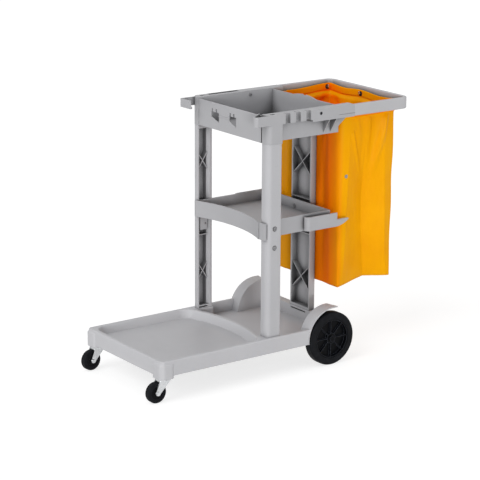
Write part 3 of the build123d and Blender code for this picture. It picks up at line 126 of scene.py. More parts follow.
class PatternedMaterial:
    """A material with a principled shader, and short calls that add patterns to its nodes."""

    def __init__(self, name, roughness, metallic=0.0, specular=0.5):
        self.material = bpy.data.materials.new(name)
        self.material.use_nodes = True
        self.nodes = self.material.node_tree.nodes
        self.links = self.material.node_tree.links
        self.shader = self.nodes["Principled BSDF"]
        self.shader.inputs["Roughness"].default_value = roughness
        self.shader.inputs["Metallic"].default_value = metallic
        self.shader.inputs["Specular IOR Level"].default_value = specular
        coordinates = self.nodes.new("ShaderNodeTexCoord")
        self.place = coordinates.outputs["Object"]
        self.cloth_place = coordinates.outputs["UV"]

    def stretched(self, x, y, z):
        """The place scaled along each axis, for a grain that runs one way."""
        mapping = self.nodes.new("ShaderNodeMapping")
        mapping.inputs["Scale"].default_value = (x, y, z)
        self.links.new(self.place, mapping.inputs["Vector"])
        return mapping.outputs["Vector"]

    def grain(self, scale, detail=2.0, place=None):
        """Noise with that many features to the metre."""
        texture = self.nodes.new("ShaderNodeTexNoise")
        texture.inputs["Scale"].default_value = scale
        texture.inputs["Detail"].default_value = detail
        self.links.new(place or self.place, texture.inputs["Vector"])
        return texture.outputs["Fac"]

    def threads(self, scale, direction):
        """Slightly uneven stripes across the flat cloth, in one direction."""
        texture = self.nodes.new("ShaderNodeTexWave")
        texture.bands_direction = direction
        texture.inputs["Scale"].default_value = scale
        texture.inputs["Distortion"].default_value = THREAD_WAVER
        texture.inputs["Detail Scale"].default_value = THREAD_WAVER_SCALE
        self.links.new(self.cloth_place, texture.inputs["Vector"])
        return texture.outputs["Fac"]

    def axis(self, letter):
        """One coordinate of the place, in metres."""
        node = self.nodes.new("ShaderNodeSeparateXYZ")
        self.links.new(self.place, node.inputs["Vector"])
        return node.outputs[letter]


print("patterns", [name for name in vars(PatternedMaterial) if not name.startswith("_")])

# %% [markdown]
# ## Tones
# A pattern becomes a colour through a ramp: dark tone, light tone, and where on the pattern each begins. A
# ramp from black to white is a mask, and a mask lays one colour over another, as dirt lies over paint. The
# same steps could be one large node group, but single helpers can be put together differently each time.


# %% Tones
class TonedMaterial(PatternedMaterial):
    """A patterned material with short calls that turn patterns into colours, masks and roughness."""

    def ramp(self, value, stops):
        """Colours or greys at positions along a value."""
        node = self.nodes.new("ShaderNodeValToRGB")
        elements = node.color_ramp.elements
        while len(elements) < len(stops):
            elements.new(0.5)
        for element, (position, colour) in zip(elements, stops):
            element.position = position
            element.color = colour
        self.links.new(value, node.inputs["Fac"])
        return node.outputs["Color"]

    def two_tones(self, value, colour, dark, pale, dark_at=0.3, pale_at=0.7):
        """A colour that drifts between a darker and a paler share of itself."""
        return self.ramp(value, [(dark_at, shade(colour, dark)), (pale_at, shade(colour, pale))])

    def mask(self, value, low, high, most=1.0):
        """Grey that rises from nothing to the most between two values."""
        return self.ramp(value, [(low, PLAIN_BLACK), (high, shade(PLAIN_WHITE, most))])

    def calculate(self, operation, first, second):
        """One sum on two values."""
        node = self.nodes.new("ShaderNodeMath")
        node.operation = operation
        for socket, value in zip(node.inputs, (first, second)):
            if isinstance(value, float):
                socket.default_value = value
            else:
                self.links.new(value, socket)
        return node.outputs[0]

    def mix(self, factor, first, second):
        """Second colour over the first by a factor that varies."""
        node = self.nodes.new("ShaderNodeMix")
        node.data_type = "RGBA"
        self.links.new(factor, node.inputs["Factor"])
        self.links.new(first, node.inputs["A"])
        if isinstance(second, tuple):
            node.inputs["B"].default_value = second
        else:
            self.links.new(second, node.inputs["B"])
        return node.outputs["Result"]

    def colour(self, value):
        """Colour of the surface."""
        self.links.new(value, self.shader.inputs["Base Color"])

    def rough(self, value, low, high):
        """Roughness that varies between two values."""
        node = self.nodes.new("ShaderNodeMapRange")
        node.inputs["To Min"].default_value = low
        node.inputs["To Max"].default_value = high
        self.links.new(value, node.inputs["Value"])
        self.links.new(node.outputs["Result"], self.shader.inputs["Roughness"])


print("tones", [name for name in vars(TonedMaterial) if not name.startswith("_")])

# %% [markdown]
# ## Edges, hollows and relief
# Painted highlights go on edges, and painted shade and bounce light into hollows, so a finish has to know
# where they are. They could be painted by hand or stored in the mesh, but the carried-over meshes stay as
# they are. The shader can find both by itself: it rounds the surface a little and compares the two
# directions, and it looks round each point for other faces close by.

# %% Edges, hollows and relief
EDGE_SAMPLES = 6
HOLLOW_SAMPLES = 8
FACING_BLEND = 0.02


class Finish(TonedMaterial):
    """A toned material that finds edges, hollows and inner faces, and ends in a relief."""

    soft_normal = None

    def round_edges(self, radius):
        """Shades sharp edges as if they were rounded by a small radius."""
        soft = self.nodes.new("ShaderNodeBevel")
        soft.samples = EDGE_SAMPLES
        soft.inputs["Radius"].default_value = radius
        self.soft_normal = soft.outputs["Normal"]

    def agreement(self, first, second):
        """How far two directions agree."""
        node = self.nodes.new("ShaderNodeVectorMath")
        node.operation = "DOT_PRODUCT"
        self.links.new(first, node.inputs[0])
        self.links.new(second, node.inputs[1])
        return node.outputs["Value"]

    def edges(self, radius):
        """Pattern of the outer and inner edges, which it also rounds."""
        self.round_edges(radius)
        true = self.nodes.new("ShaderNodeNewGeometry")
        return self.calculate("SUBTRACT", 1.0, self.agreement(self.soft_normal, true.outputs["Normal"]))

    def hollows(self, reach, tight, open_at):
        """Mask of corners and recesses: white where faces within reach shut the point in."""
        node = self.nodes.new("ShaderNodeAmbientOcclusion")
        node.samples = HOLLOW_SAMPLES
        node.inputs["Distance"].default_value = reach
        return self.ramp(node.outputs["AO"], [(tight, PLAIN_WHITE), (open_at, PLAIN_BLACK)])

    def facing_in(self, middle):
        """Mask of the faces that look towards a place, such as the lining of a bag."""
        outward = self.nodes.new("ShaderNodeVectorMath")
        outward.operation = "SUBTRACT"
        self.links.new(self.place, outward.inputs[0])
        outward.inputs[1].default_value = middle
        true = self.nodes.new("ShaderNodeNewGeometry")
        turned_out = self.agreement(outward.outputs["Vector"], true.outputs["True Normal"])
        return self.mask(self.calculate("MULTIPLY", turned_out, -1.0), 0.0, FACING_BLEND)

    def bump(self, height, depth, strength=1.0):
        """Relief of that depth in metres, over the rounded edges where there are any."""
        node = self.nodes.new("ShaderNodeBump")
        node.inputs["Distance"].default_value = depth
        node.inputs["Strength"].default_value = strength
        self.links.new(height, node.inputs["Height"])
        if self.soft_normal:
            self.links.new(self.soft_normal, node.inputs["Normal"])
        self.links.new(node.outputs["Normal"], self.shader.inputs["Normal"])


print("edge samples", EDGE_SAMPLES, "hollow samples", HOLLOW_SAMPLES)

# %% [markdown]
# ## Grey moulded plastic
# The platform, uprights, shelf, tray and push frame are light, cool grey polypropylene. The tone drifts a
# little from flow in the mould, the surface has a fine spark-eroded grain, and faint rub marks run along the
# cart where bins and handles slide. Real mouldings have no sharp edges, so the shader rounds them by two
# millimetres, and pales them as a painted highlight. Deep pockets darken with painted shade. One function
# makes four tones of painted light and shade: a lightened one for the platform, whose hollows get little
# painted shade, a darkened one for the tray and the shelf, one for the rear upright with the deepest painted
# shade in its pockets, and one for all else. Four copies of the nodes would do the same, but then a change
# is made four times.

# %% Grey moulded plastic
GREY = linear(179, 179, 182)
MOULD_EDGE = 0.0020
POCKET_REACH = 0.06


def moulded_grey(name, tone, shade_tone, tight=0.36, open_at=0.78):
    """Grey plastic of one tone, with painted shade of a second tone in its hollows. Both are shares of the
    cart's grey.
    """
    finish = Finish(name, roughness=0.46, specular=0.35)
    grey = shade(GREY, tone)
    drift = finish.two_tones(finish.grain(4.0, 3.0), grey, dark=0.96, pale=1.03)
    along_cart = finish.stretched(3.0, 26.0, 14.0)
    rubs = finish.mask(finish.grain(9.0, 6.0, along_cart), low=0.60, high=0.74, most=0.45)
    rubbed = finish.mix(rubs, drift, shade(grey, 0.91))
    # Painted highlight: edges pale towards 1.3 times the grey.
    edge_highlight = finish.mask(finish.edges(MOULD_EDGE), low=0.02, high=0.30, most=0.8)
    rubbed_and_highlighted = finish.mix(edge_highlight, rubbed, shade(grey, 1.30))
    # Painted shade: hollows and pockets darken towards the shade tone.
    pocket_shade = finish.hollows(POCKET_REACH, tight, open_at)
    finish.colour(finish.mix(pocket_shade, rubbed_and_highlighted, shade(GREY, shade_tone)))
    finish.rough(finish.grain(30.0, 5.0), low=0.40, high=0.54)
    finish.bump(finish.grain(900.0), depth=0.00006, strength=0.6)
    return finish


# Painted light and shade: the platform is a lightened copy of the grey, the tray and shelf a darkened one,
# and the rear upright's pockets take the deepest painted shade.
grey_plastic = moulded_grey("grey_moulded_plastic", tone=1.0, shade_tone=0.28)
lightened_platform_plastic = moulded_grey("grey_platform_plastic", tone=1.10, shade_tone=0.88)
darkened_tray_plastic = moulded_grey("grey_tray_plastic", tone=0.86, shade_tone=0.28)
deep_shade_upright_plastic = moulded_grey("grey_upright_plastic", tone=1.0, shade_tone=0.12, tight=0.45, open_at=0.88)
greys = (grey_plastic, lightened_platform_plastic, darkened_tray_plastic, deep_shade_upright_plastic)
print("finishes", [finish.material.name for finish in greys])

# %% [markdown]
# ## Black wheel plastic and rubber
# The wheel discs are a deep black polypropylene with a soft sheen, and their ribs and rims are paler as a
# painted highlight. The tyres are nearly as dark and duller, with scuffs on the tread. A plain black would
# do from far away, but the ribs would be lost, so the mask of the edges lightens them as a painted
# highlight.
# Black shows every reflection of a white studio, so both have a low specular level, which is what keeps them
# black.

# %% Black plastic and tyre rubber
BLACK = linear(14, 15, 18)
CHARCOAL = linear(24, 25, 28)
RIB_EDGE = 0.0026
TYRE_EDGE = 0.0012

black_plastic = Finish("black_moulded_plastic", roughness=0.34, specular=0.06)
disc = black_plastic.two_tones(black_plastic.grain(25.0, 4.0), BLACK, dark=0.6, pale=1.0, pale_at=0.75)
# Painted highlight: rib and rim edges lighten towards sixteen times the black.
rib_highlight = black_plastic.mask(black_plastic.edges(RIB_EDGE), low=0.02, high=0.25, most=0.9)
black_plastic.colour(black_plastic.mix(rib_highlight, disc, shade(BLACK, 16.0)))
black_plastic.rough(black_plastic.grain(60.0, 4.0), low=0.26, high=0.44)
black_plastic.bump(black_plastic.grain(700.0), depth=0.00005, strength=0.6)

tyre_rubber = Finish("black_tyre_rubber", roughness=0.58, specular=0.06)
scuffs = tyre_rubber.mask(tyre_rubber.grain(38.0, 6.0), low=0.56, high=0.80, most=0.6)
rubber = tyre_rubber.two_tones(tyre_rubber.grain(55.0, 5.0), CHARCOAL, dark=0.75, pale=1.2, dark_at=0.35)
tyre_rubber.colour(tyre_rubber.mix(scuffs, rubber, shade(CHARCOAL, 2.2)))
tyre_rubber.round_edges(TYRE_EDGE)
tyre_rubber.rough(tyre_rubber.grain(120.0, 3.0), low=0.46, high=0.68)
tyre_rubber.bump(tyre_rubber.grain(420.0, 3.0), depth=0.00012, strength=0.7)
print("finishes", black_plastic.material.name, tyre_rubber.material.name)

# %% [markdown]
# ## Metals and nylon
# Hooks, caster forks and caster plates are bright zinc over pressed steel: a mirror-like skin with cloudy
# patches and fine pits. The frame's nuts, the shelf's screw and the bag's stud are a dull grey steel, and
# the bolts through the uprights take that darker grey as painted shade of the recesses they sit in. Frame
# bolts are blackened, and the eyelets take the same dark steel as a painted dark reflection. Each could be
# wired by itself, but the three differ only in tone, gloss and grain, so one function makes them all. The
# bushes are natural nylon, slightly yellow, which needs no more than two tones and a fine relief.

# %% Metals and nylon
ZINC = linear(214, 216, 218)
BLACKENED_WITH_DARK_REFLECTION = linear(70, 70, 74)
DULL_AND_SHADED_GREY = linear(150, 150, 152)
NYLON = linear(226, 222, 208)
PIT_DEPTH = 0.00003


def metal(name, colour, roughness, metallic, clouds, tones, edge, gloss_grain, gloss, pits, pale_at=0.7):
    """Metal with cloudy tones, rounded edges, uneven gloss and fine pits. A grain is (scale, detail)."""
    finish = Finish(name, roughness, metallic)
    finish.colour(finish.two_tones(finish.grain(*clouds), colour, *tones, pale_at=pale_at))
    finish.round_edges(edge)
    finish.rough(finish.grain(*gloss_grain), *gloss)
    finish.bump(finish.grain(*pits), depth=PIT_DEPTH, strength=0.6)
    return finish


zinc_steel = metal("zinc_plated_steel", ZINC, roughness=0.26, metallic=1.0,
                   clouds=(90.0, 5.0), tones=(0.82, 1.02), edge=0.0006,
                   gloss_grain=(160.0, 6.0), gloss=(0.18, 0.38), pits=(500.0, 4.0))
# Painted dark reflection: the eyelets take this dark steel, and the frame bolts are blackened.
dark_steel = metal("blackened_steel_with_dark_reflection", BLACKENED_WITH_DARK_REFLECTION, roughness=0.38, metallic=0.9,
                   clouds=(300.0, 4.0), tones=(0.6, 1.2), pale_at=0.75, edge=0.0005,
                   gloss_grain=(400.0, 3.0), gloss=(0.28, 0.50), pits=(1200.0, 2.0))
# Painted shade: the upright bolts take this darker grey for the recesses they sit in.
dull_and_shaded_steel = metal("dull_grey_and_shaded_steel", DULL_AND_SHADED_GREY, roughness=0.48, metallic=0.6,
                   clouds=(200.0, 5.0), tones=(0.80, 1.05), edge=0.0006,
                   gloss_grain=(300.0, 4.0), gloss=(0.38, 0.60), pits=(900.0, 3.0))

nylon = Finish("natural_nylon", roughness=0.45)
nylon.colour(nylon.two_tones(nylon.grain(80.0, 3.0), NYLON, dark=0.92, pale=1.0))
nylon.bump(nylon.grain(600.0), depth=0.00004, strength=0.5)
print("finishes", [finish.material.name for finish in (zinc_steel, dark_steel, dull_and_shaded_steel, nylon)])

# %% [markdown]
# ## Bag vinyl: its colour
# The bag is orange-yellow coated fabric, which deepens in patches where the coating is thin and handled.
# Between two sheets of such cloth the light turns redder with each bounce. The panel behind the rear
# upright and the lining inside the bag therefore look a deep orange. Many bounces of light could show
# this, but slowly and with noise, so the colour itself deepens there: by the place on the front panel,
# and on inner faces by how shut in they are.

# %% Bag vinyl: its colour
ORANGE = linear(242, 169, 1)
DEEP_ORANGE = linear(236, 159, 1)
SHADED = linear(248, 114, 1)
LINING = linear(255, 112, 1)
FRONT_PANEL_FROM = 0.004
FRONT_PANEL_TO = 0.020
LINING_REACH = 0.20
# How far left of the middle of the front panel, and how deep the shade is there.
UPRIGHT_SHADE = [(0.0, 0.15), (0.05, 0.9), (0.13, 1.0), (0.185, 0.4)]

bag_low, bag_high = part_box("waste_bag")
bag_middle = (bag_low + bag_high) / 2
bag_vinyl = Finish("coated_bag_vinyl", roughness=0.38, specular=0.05)
coat = bag_vinyl.ramp(bag_vinyl.grain(7.0, 4.0), [(0.3, DEEP_ORANGE), (0.7, ORANGE)])
drawn_down = bag_vinyl.stretched(1.0, 1.0, 0.35)
handled = bag_vinyl.mask(bag_vinyl.grain(16.0, 6.0, drawn_down), low=0.58, high=0.78, most=0.35)
outside = bag_vinyl.mix(handled, coat, shade(DEEP_ORANGE, 0.92))
front_stops = [(bag_low.x + FRONT_PANEL_FROM, PLAIN_WHITE), (bag_low.x + FRONT_PANEL_TO, PLAIN_BLACK)]
on_front = bag_vinyl.ramp(bag_vinyl.axis("X"), front_stops)
to_left = bag_vinyl.calculate("MULTIPLY", bag_vinyl.axis("Y"), -1.0)
by_upright = bag_vinyl.ramp(to_left, [(y, shade(PLAIN_WHITE, depth)) for y, depth in UPRIGHT_SHADE])
fronted = bag_vinyl.mix(bag_vinyl.calculate("MULTIPLY", on_front, by_upright), outside, SHADED)
inner_faces = bag_vinyl.facing_in(bag_middle)
shut_in = bag_vinyl.hollows(LINING_REACH, tight=0.55, open_at=0.96)
lined = bag_vinyl.calculate("MULTIPLY", inner_faces, shut_in)
bag_vinyl.colour(bag_vinyl.mix(lined, fronted, LINING))
print("front panel at x", round(bag_low.x, 3), "lining round", [round(v, 3) for v in bag_middle])

# %% [markdown]
# ## Bag vinyl: its weave, and the thread
# The coating has a soft gloss, and the weave shows through it as a fine relief. Stripes on the cart's own
# axes would run straight through the folds. The bag carries a map of the flat cloth in metres instead, so
# two sets of stripes on that map bend with each fold. The thread is a duller orange with little gloss.

# %% Bag vinyl: its weave, and the thread
THREAD = linear(226, 150, 30)
WEAVE_SCALE = 180.0

bag_vinyl.rough(bag_vinyl.grain(25.0, 5.0), low=0.32, high=0.50)
warp = bag_vinyl.threads(WEAVE_SCALE, "X")
weft = bag_vinyl.threads(WEAVE_SCALE, "Y")
bag_vinyl.bump(bag_vinyl.calculate("MULTIPLY", warp, weft), depth=0.00006, strength=0.45)

bag_thread = Finish("bag_thread", roughness=0.70, specular=0.2)
bag_thread.colour(bag_thread.two_tones(bag_thread.grain(400.0, 3.0), THREAD, dark=0.8, pale=1.0))
bag_thread.bump(bag_thread.grain(3000.0), depth=0.00005, strength=0.5)
print("finishes", bag_vinyl.material.name, bag_thread.material.name)

# %% [markdown]
# ## Finishes on the carried-over pieces
# Each node could be given its finish by name, one after the other. The record already names a material slot
# for each node, so one table from slot to finish covers them all, and a second, short one names the nodes
# whose finish differs from their slot's usual one.

# %% Finishes on the carried-over pieces
FINISH_OF_SLOT = {
    "grey_plastic": grey_plastic,
    "black_plastic": black_plastic,
    "tyre_rubber": tyre_rubber,
    "zinc_steel": zinc_steel,
    "dark_steel": dark_steel,
    "bag_vinyl": bag_vinyl,
    "nylon": nylon,
}
FINISH_OF_NODE = {
    # Painted light and shade: lightened and darkened copies of the grey for platform, upright, shelf and
    # tray.
    "base_platform": lightened_platform_plastic,
    "rear_upright": deep_shade_upright_plastic,
    "middle_shelf": darkened_tray_plastic,
    "top_tray": darkened_tray_plastic,
    # Painted shade: the upright bolts are darker for the recesses they sit in.
    "upright_bolts": dull_and_shaded_steel,
    "bag_stud": dull_and_shaded_steel,
    "frame_nuts": dull_and_shaded_steel,
    "shelf_screw": dull_and_shaded_steel,
    # Painted dark reflection: the eyelets take the dark steel.
    "bag_eyelets": dark_steel,
}
for subpart in frame["record"]["subparts"]:
    node = frame["nodes"][subpart["node"]]
    usual = FINISH_OF_SLOT[subpart["material_slot"]]
    node.data.materials.clear()
    node.data.materials.append(FINISH_OF_NODE.get(subpart["node"], usual).material)

# %% [markdown]
# ## Waste bag: its sizes
# The bag is a sewn sleeve with a bottom, hung from five eyelets. The solid that stands in for it gives the
# outer sizes, so that the cloth keeps to the frame when the frame changes. What the solid doesn't tell, such
# as the thickness of the cloth and where it flares out to the hooks, is named here.

# %% Bag sizes from the frame
FRONT = bag_low.x
SIDE_WIDTH = 0.254
BACK = FRONT + SIDE_WIDTH
BODY_HALF = 0.190
HEM_HALF = bag_high.y
HEM_BACK = bag_high.x
BOTTOM = bag_low.z
CLOTH = 0.0012
HEM_FOLD = 0.0024
TOP = bag_high.z - HEM_FOLD / 2
HEIGHT = TOP - BOTTOM
REAR_WIDTH = 2 * BODY_HALF
FLARE_START = 0.915
FLARE_END = 0.938
DRAPE_START = 0.45
REAR_DRAPE = 0.006
RIGHT_DRAPE = 0.010
CHEEK_START = 0.3225
CHEEK_END = 0.3485
print("bag", [round(v, 4) for v in bag_low], [round(v, 4) for v in bag_high])

# %% [markdown]
# ## Waste bag: its plan
# A maker would cut the bag flat, but a loft is easier to steer: a closed loop of points round the bag's
# plan, repeated at many heights. The plan is a rectangle at the bottom, widens a little towards the top on
# the right and at the rear, where the bag drapes, and flares out to the hooks under the push frame. The two
# front corners are soft at the top, where the eyelets pull the cloth in, and turn into sharp folds towards
# the bottom. On the side panels the columns of points follow the crease and the ridge, so that each fold
# falls on an edge of the mesh and stays sharp.


# %% Crease and ridge of the side panels
def smooth(edge0, edge1, value):
    """Rises smoothly from 0 to 1 between two edges."""
    t = min(max((value - edge0) / (edge1 - edge0), 0.0), 1.0)
    return t * t * (3 - 2 * t)


def between(points, position):
    """Value on straight lines through (position, value) points."""
    for (p0, v0), (p1, v1) in zip(points, points[1:]):
        if position <= p1:
            return v0 + (v1 - v0) * max((position - p0) / (p1 - p0), 0.0)
    return points[-1][1]


SIDE_LEFT, REAR, SIDE_RIGHT, FRONT_PANEL = range(4)
OUTWARD = [Vector((0, -1, 0)), Vector((1, 0, 0)), Vector((0, 1, 0)), Vector((-1, 0, 0))]
BAND = 0.075
CREASE_LINE = {
    SIDE_LEFT: [(0.0, 0.62), (0.45, 0.49), (1.0, 0.45)],
    SIDE_RIGHT: [(0.0, 0.55), (0.5, 0.47), (1.0, 0.50)],
}
RIDGE_LINE = {
    SIDE_LEFT: [(0.0, 0.965), (0.12, 0.90), (0.50, 0.84), (0.85, 0.80), (1.0, 0.80)],
    SIDE_RIGHT: [(0.0, 0.95), (0.20, 0.88), (0.85, 0.80), (1.0, 0.80)],
}


def panel_share(number, share, height):
    """Share of the way across a panel. On the sides it runs front to rear and follows crease and ridge."""
    if number not in CREASE_LINE:
        return share
    home = 1 - share if number == SIDE_RIGHT else share
    crease = CREASE_LINE[number]
    ridge = RIDGE_LINE[number]
    stops = [(0.0, 0.0), (BAND, BAND), (crease[-1][1], between(crease, height)),
             (ridge[-1][1], between(ridge, height)), (1.0, 1.0)]
    return between(stops, home)


print("left crease at the bottom", between(CREASE_LINE[SIDE_LEFT], 0.0), "of the way to the rear")

# %% Plan of the bag
FRONT_ROUND = [(0.0, 0.004), (0.25, 0.010), (0.85, 0.030), (0.93, 0.030), (1.0, 0.014)]
REAR_ROUND = [(0.0, 0.006), (1.0, 0.011)]


def plan_corners(z):
    """The plan's four corners at a height, with their radii, from the front left one round by the rear."""
    height = (z - BOTTOM) / HEIGHT
    flare = smooth(FLARE_START, FLARE_END, z)
    drape = smooth(DRAPE_START, FLARE_START, z)
    left = BODY_HALF + (HEM_HALF - BODY_HALF) * flare
    right = BODY_HALF + RIGHT_DRAPE * drape + (HEM_HALF - BODY_HALF - RIGHT_DRAPE) * flare
    rear = BACK + REAR_DRAPE * drape + (HEM_BACK - BACK - REAR_DRAPE) * flare
    front_round = between(FRONT_ROUND, height)
    rear_round = between(REAR_ROUND, height)
    return [(FRONT, -BODY_HALF, front_round), (rear, -left, rear_round),
            (rear, right, rear_round), (FRONT, BODY_HALF, front_round)]


def plan_point(column, z):
    """Place and outward direction on the plan. A column is a corner or a panel, its number and a share."""
    kind, number, share = column
    corners = plan_corners(z)
    if kind == "corner":
        x, y, radius = corners[number]
        angle = math.radians(180 + 90 * (number + share))
        out = Vector((math.cos(angle), math.sin(angle), 0.0))
        into = Vector((1.0 if x == FRONT else -1.0, 1.0 if y < 0 else -1.0, 0.0))
        return Vector((x, y, z)) + into * radius + out * radius, out
    x0, y0, r0 = corners[number]
    x1, y1, r1 = corners[(number + 1) % 4]
    along = Vector((-OUTWARD[number].y, OUTWARD[number].x, 0.0))
    start = Vector((x0, y0, z)) + along * r0
    end = Vector((x1, y1, z)) - along * r1
    a = panel_share(number, share, (z - BOTTOM) / HEIGHT)
    place = start.lerp(end, 1 - a if number == SIDE_RIGHT else a)
    if number in (SIDE_LEFT, SIDE_RIGHT):
        half = abs(y1 if number == SIDE_LEFT else y0)
        cheek = smooth(CHEEK_START, CHEEK_END, place.x)
        place.y = OUTWARD[number].y * (BODY_HALF + (half - BODY_HALF) * cheek)
    return place, OUTWARD[number]


print("plan at the rim", [(round(x, 3), round(y, 3)) for x, y, _ in plan_corners(TOP)])

# %% [markdown]
# ## Waste bag: pull marks
# Where cloth hangs from a few points, short folds run from each of them and die out. A cloth simulation
# makes such folds too, but it is hard to steer where they fall. A tent shape along a line is enough: two
# nearly straight flanks, highest where the fold starts and gone where it ends. Each panel has a short list
# of them. In all that follows, a is the share of the way across a panel, and h the share of the way up.

# %% Pull marks
STRAIGHT = 0.6


def tent(a, h, width, start, end, reach, rise):
    """Fold with nearly straight flanks along a line on a panel, from its start to where it dies out."""
    point = Vector((a * width, h * HEIGHT))
    first = Vector((start[0] * width, start[1] * HEIGHT))
    last = Vector((end[0] * width, end[1] * HEIGHT))
    run = last - first
    share = min(max((point - first).dot(run) / run.length_squared, 0.0), 1.0)
    flank = max(0.0, 1 - (point - first - run * share).length / reach)
    form = STRAIGHT * flank + (1 - STRAIGHT) * flank * flank * (3 - 2 * flank)
    return rise * (1 - share * share) * form


# Start and end as shares (across, up), reach to each side and rise in metres. A rise below zero is a valley.
LEFT_PULLS = [
    ((0.46, 0.99), (0.50, 0.58), 0.024, 0.011),
    ((0.86, 0.94), (0.58, 0.58), 0.022, 0.012),
    ((0.66, 0.97), (0.57, 0.68), 0.028, -0.007),
    ((0.14, 0.84), (0.40, 0.60), 0.014, 0.008),
    ((0.19, 0.84), (0.30, 0.70), 0.016, -0.004),
    ((0.22, 0.95), (0.36, 0.76), 0.016, 0.004),
    ((0.66, 0.18), (0.73, 0.12), 0.010, 0.0016),
    ((0.08, 0.40), (0.16, 0.30), 0.020, -0.003),
]
RIGHT_PULLS = [
    ((0.55, 0.99), (0.47, 0.60), 0.030, 0.007),
    ((0.92, 0.92), (0.66, 0.62), 0.028, 0.008),
    ((0.10, 0.86), (0.34, 0.66), 0.020, 0.005),
]
REAR_PULLS = [
    ((0.54, 0.97), (0.34, 0.55), 0.030, 0.007),
    ((0.57, 0.97), (0.74, 0.50), 0.034, 0.007),
    ((0.06, 0.95), (0.25, 0.62), 0.026, 0.006),
    ((0.94, 0.95), (0.80, 0.66), 0.026, 0.006),
]
FRONT_PULLS = [
    ((0.20, 0.97), (0.30, 0.45), 0.026, 0.005),
    ((0.80, 0.97), (0.68, 0.40), 0.026, 0.005),
]


def pulled(out, a, h, width, pulls):
    """A panel's rise with its pull marks added."""
    for start, end, reach, rise in pulls:
        out += tent(a, h, width, start, end, reach, rise)
    return out


print("pull marks", [len(pulls) for pulls in (LEFT_PULLS, REAR_PULLS, RIGHT_PULLS, FRONT_PULLS)])

# %% [markdown]
# ## Waste bag: the folds of its panels
# Coated cloth is stiff, so it bends along straight creases with flat facets between them. Each side panel
# is folded inwards near its middle, as bags are when they come flat in a pack: the crease is deepest at the
# bottom edge, lifts that edge, and fades out towards the rim. Behind it the panel rises to a ridge and
# turns away to the rear corner. Noise alone would look like crumpled paper. A profile of straight lines
# across the panel, whose points shift with height, gives facets, and a trace of noise keeps them from
# being too even.

# %% Profiles of the panels
LEFT_DEPTH = [(0.0, 0.042), (0.30, 0.036), (0.62, 0.024), (0.82, 0.010), (0.93, 0.002), (1.0, 0.0)]
LEFT_RISE = [(0.0, 0.0), (0.10, 0.004), (0.30, 0.009), (0.80, 0.009), (0.93, 0.003), (1.0, 0.001)]
LEFT_BAND = [(0.0, -0.0050), (0.08, 0.0), (0.20, 0.003), (0.80, 0.004), (0.93, 0.002), (1.0, 0.001)]
RIGHT_DEPTH = [(0.0, 0.042), (0.35, 0.028), (0.70, 0.007), (0.85, 0.0), (1.0, 0.0)]
RIGHT_RISE = [(0.0, 0.0), (0.30, 0.003), (0.80, 0.006), (1.0, 0.001)]
RIGHT_BAND_SHARE = 0.6
REAR_HOLLOW = [(0.0, 0.004), (0.5, 0.010), (0.9, 0.006), (1.0, 0.0)]
REAR_MIDDLE_SHARE = 0.3
FRONT_SLACK = [(0.0, 0.5), (0.4, 1.0), (0.85, 1.0), (1.0, 0.2)]
FRONT_FOLDS = [(0.0, 0.0), (0.13, 0.003), (0.27, -0.006), (0.40, -0.001), (0.52, -0.008),
               (0.64, -0.002), (0.75, -0.007), (0.88, 0.003), (1.0, 0.0)]


def left_folds(a, h):
    """Left side, from the front corner (0) to the rear one (1)."""
    crease = between(CREASE_LINE[SIDE_LEFT], h)
    ridge = between(RIDGE_LINE[SIDE_LEFT], h)
    profile = [(0.0, 0.0), (BAND, between(LEFT_BAND, h)), (crease, -between(LEFT_DEPTH, h)),
               (ridge, between(LEFT_RISE, h)), (1.0, 0.0)]
    return pulled(between(profile, a), a, h, SIDE_WIDTH, LEFT_PULLS)


def right_folds(a, h):
    """Right side, which hangs a little slacker than the left one."""
    crease = between(CREASE_LINE[SIDE_RIGHT], h)
    ridge = between(RIDGE_LINE[SIDE_RIGHT], h)
    rise = between(RIGHT_RISE, h)
    profile = [(0.0, 0.0), (BAND, rise * RIGHT_BAND_SHARE), (crease, -between(RIGHT_DEPTH, h)),
               (ridge, rise), (1.0, 0.0)]
    return pulled(between(profile, a), a, h, SIDE_WIDTH, RIGHT_PULLS)


def rear_folds(a, h):
    """Rear panel, with folds that fan out below its eyelet."""
    hollow = between(REAR_HOLLOW, h)
    profile = [(0.0, 0.0), (0.28, -hollow), (0.52, -REAR_MIDDLE_SHARE * hollow), (0.76, -hollow), (1.0, 0.0)]
    return pulled(between(profile, a), a, h, REAR_WIDTH, REAR_PULLS)


def front_folds(a, h):
    """Front panel, from the right corner (0) to the left one (1), with upright folds below its eyelets."""
    out = between(FRONT_FOLDS, a) * between(FRONT_SLACK, h)
    return pulled(out, a, h, REAR_WIDTH, FRONT_PULLS)


PANEL_FOLDS = [left_folds, rear_folds, right_folds, front_folds]
print("left crease at the bottom is", round(1000 * LEFT_DEPTH[0][1]), "mm deep")

# %% Cloth off its plan
WANDER = 0.003
RIPPLE = 0.0022
CRUMPLE = 0.0006
RIM_START = 0.90
RIM_FLAT = 0.955
RIM_FULL = 0.98
REAR_CORNERS = (1, 2)
FRONT_LIFT = 0.002
REAR_LIFT = 0.010
SIDE_LIFT = [(0.0, FRONT_LIFT), (0.60, 0.013), (1.0, REAR_LIFT)]
LIFT_END = 0.35


def wander(number, h):
    """Slow drift of a corner along its height."""
    return WANDER * noise.noise(Vector((7.1 * number, 5.0 * h, 0.4))) * smooth(0.0, 0.15, h)


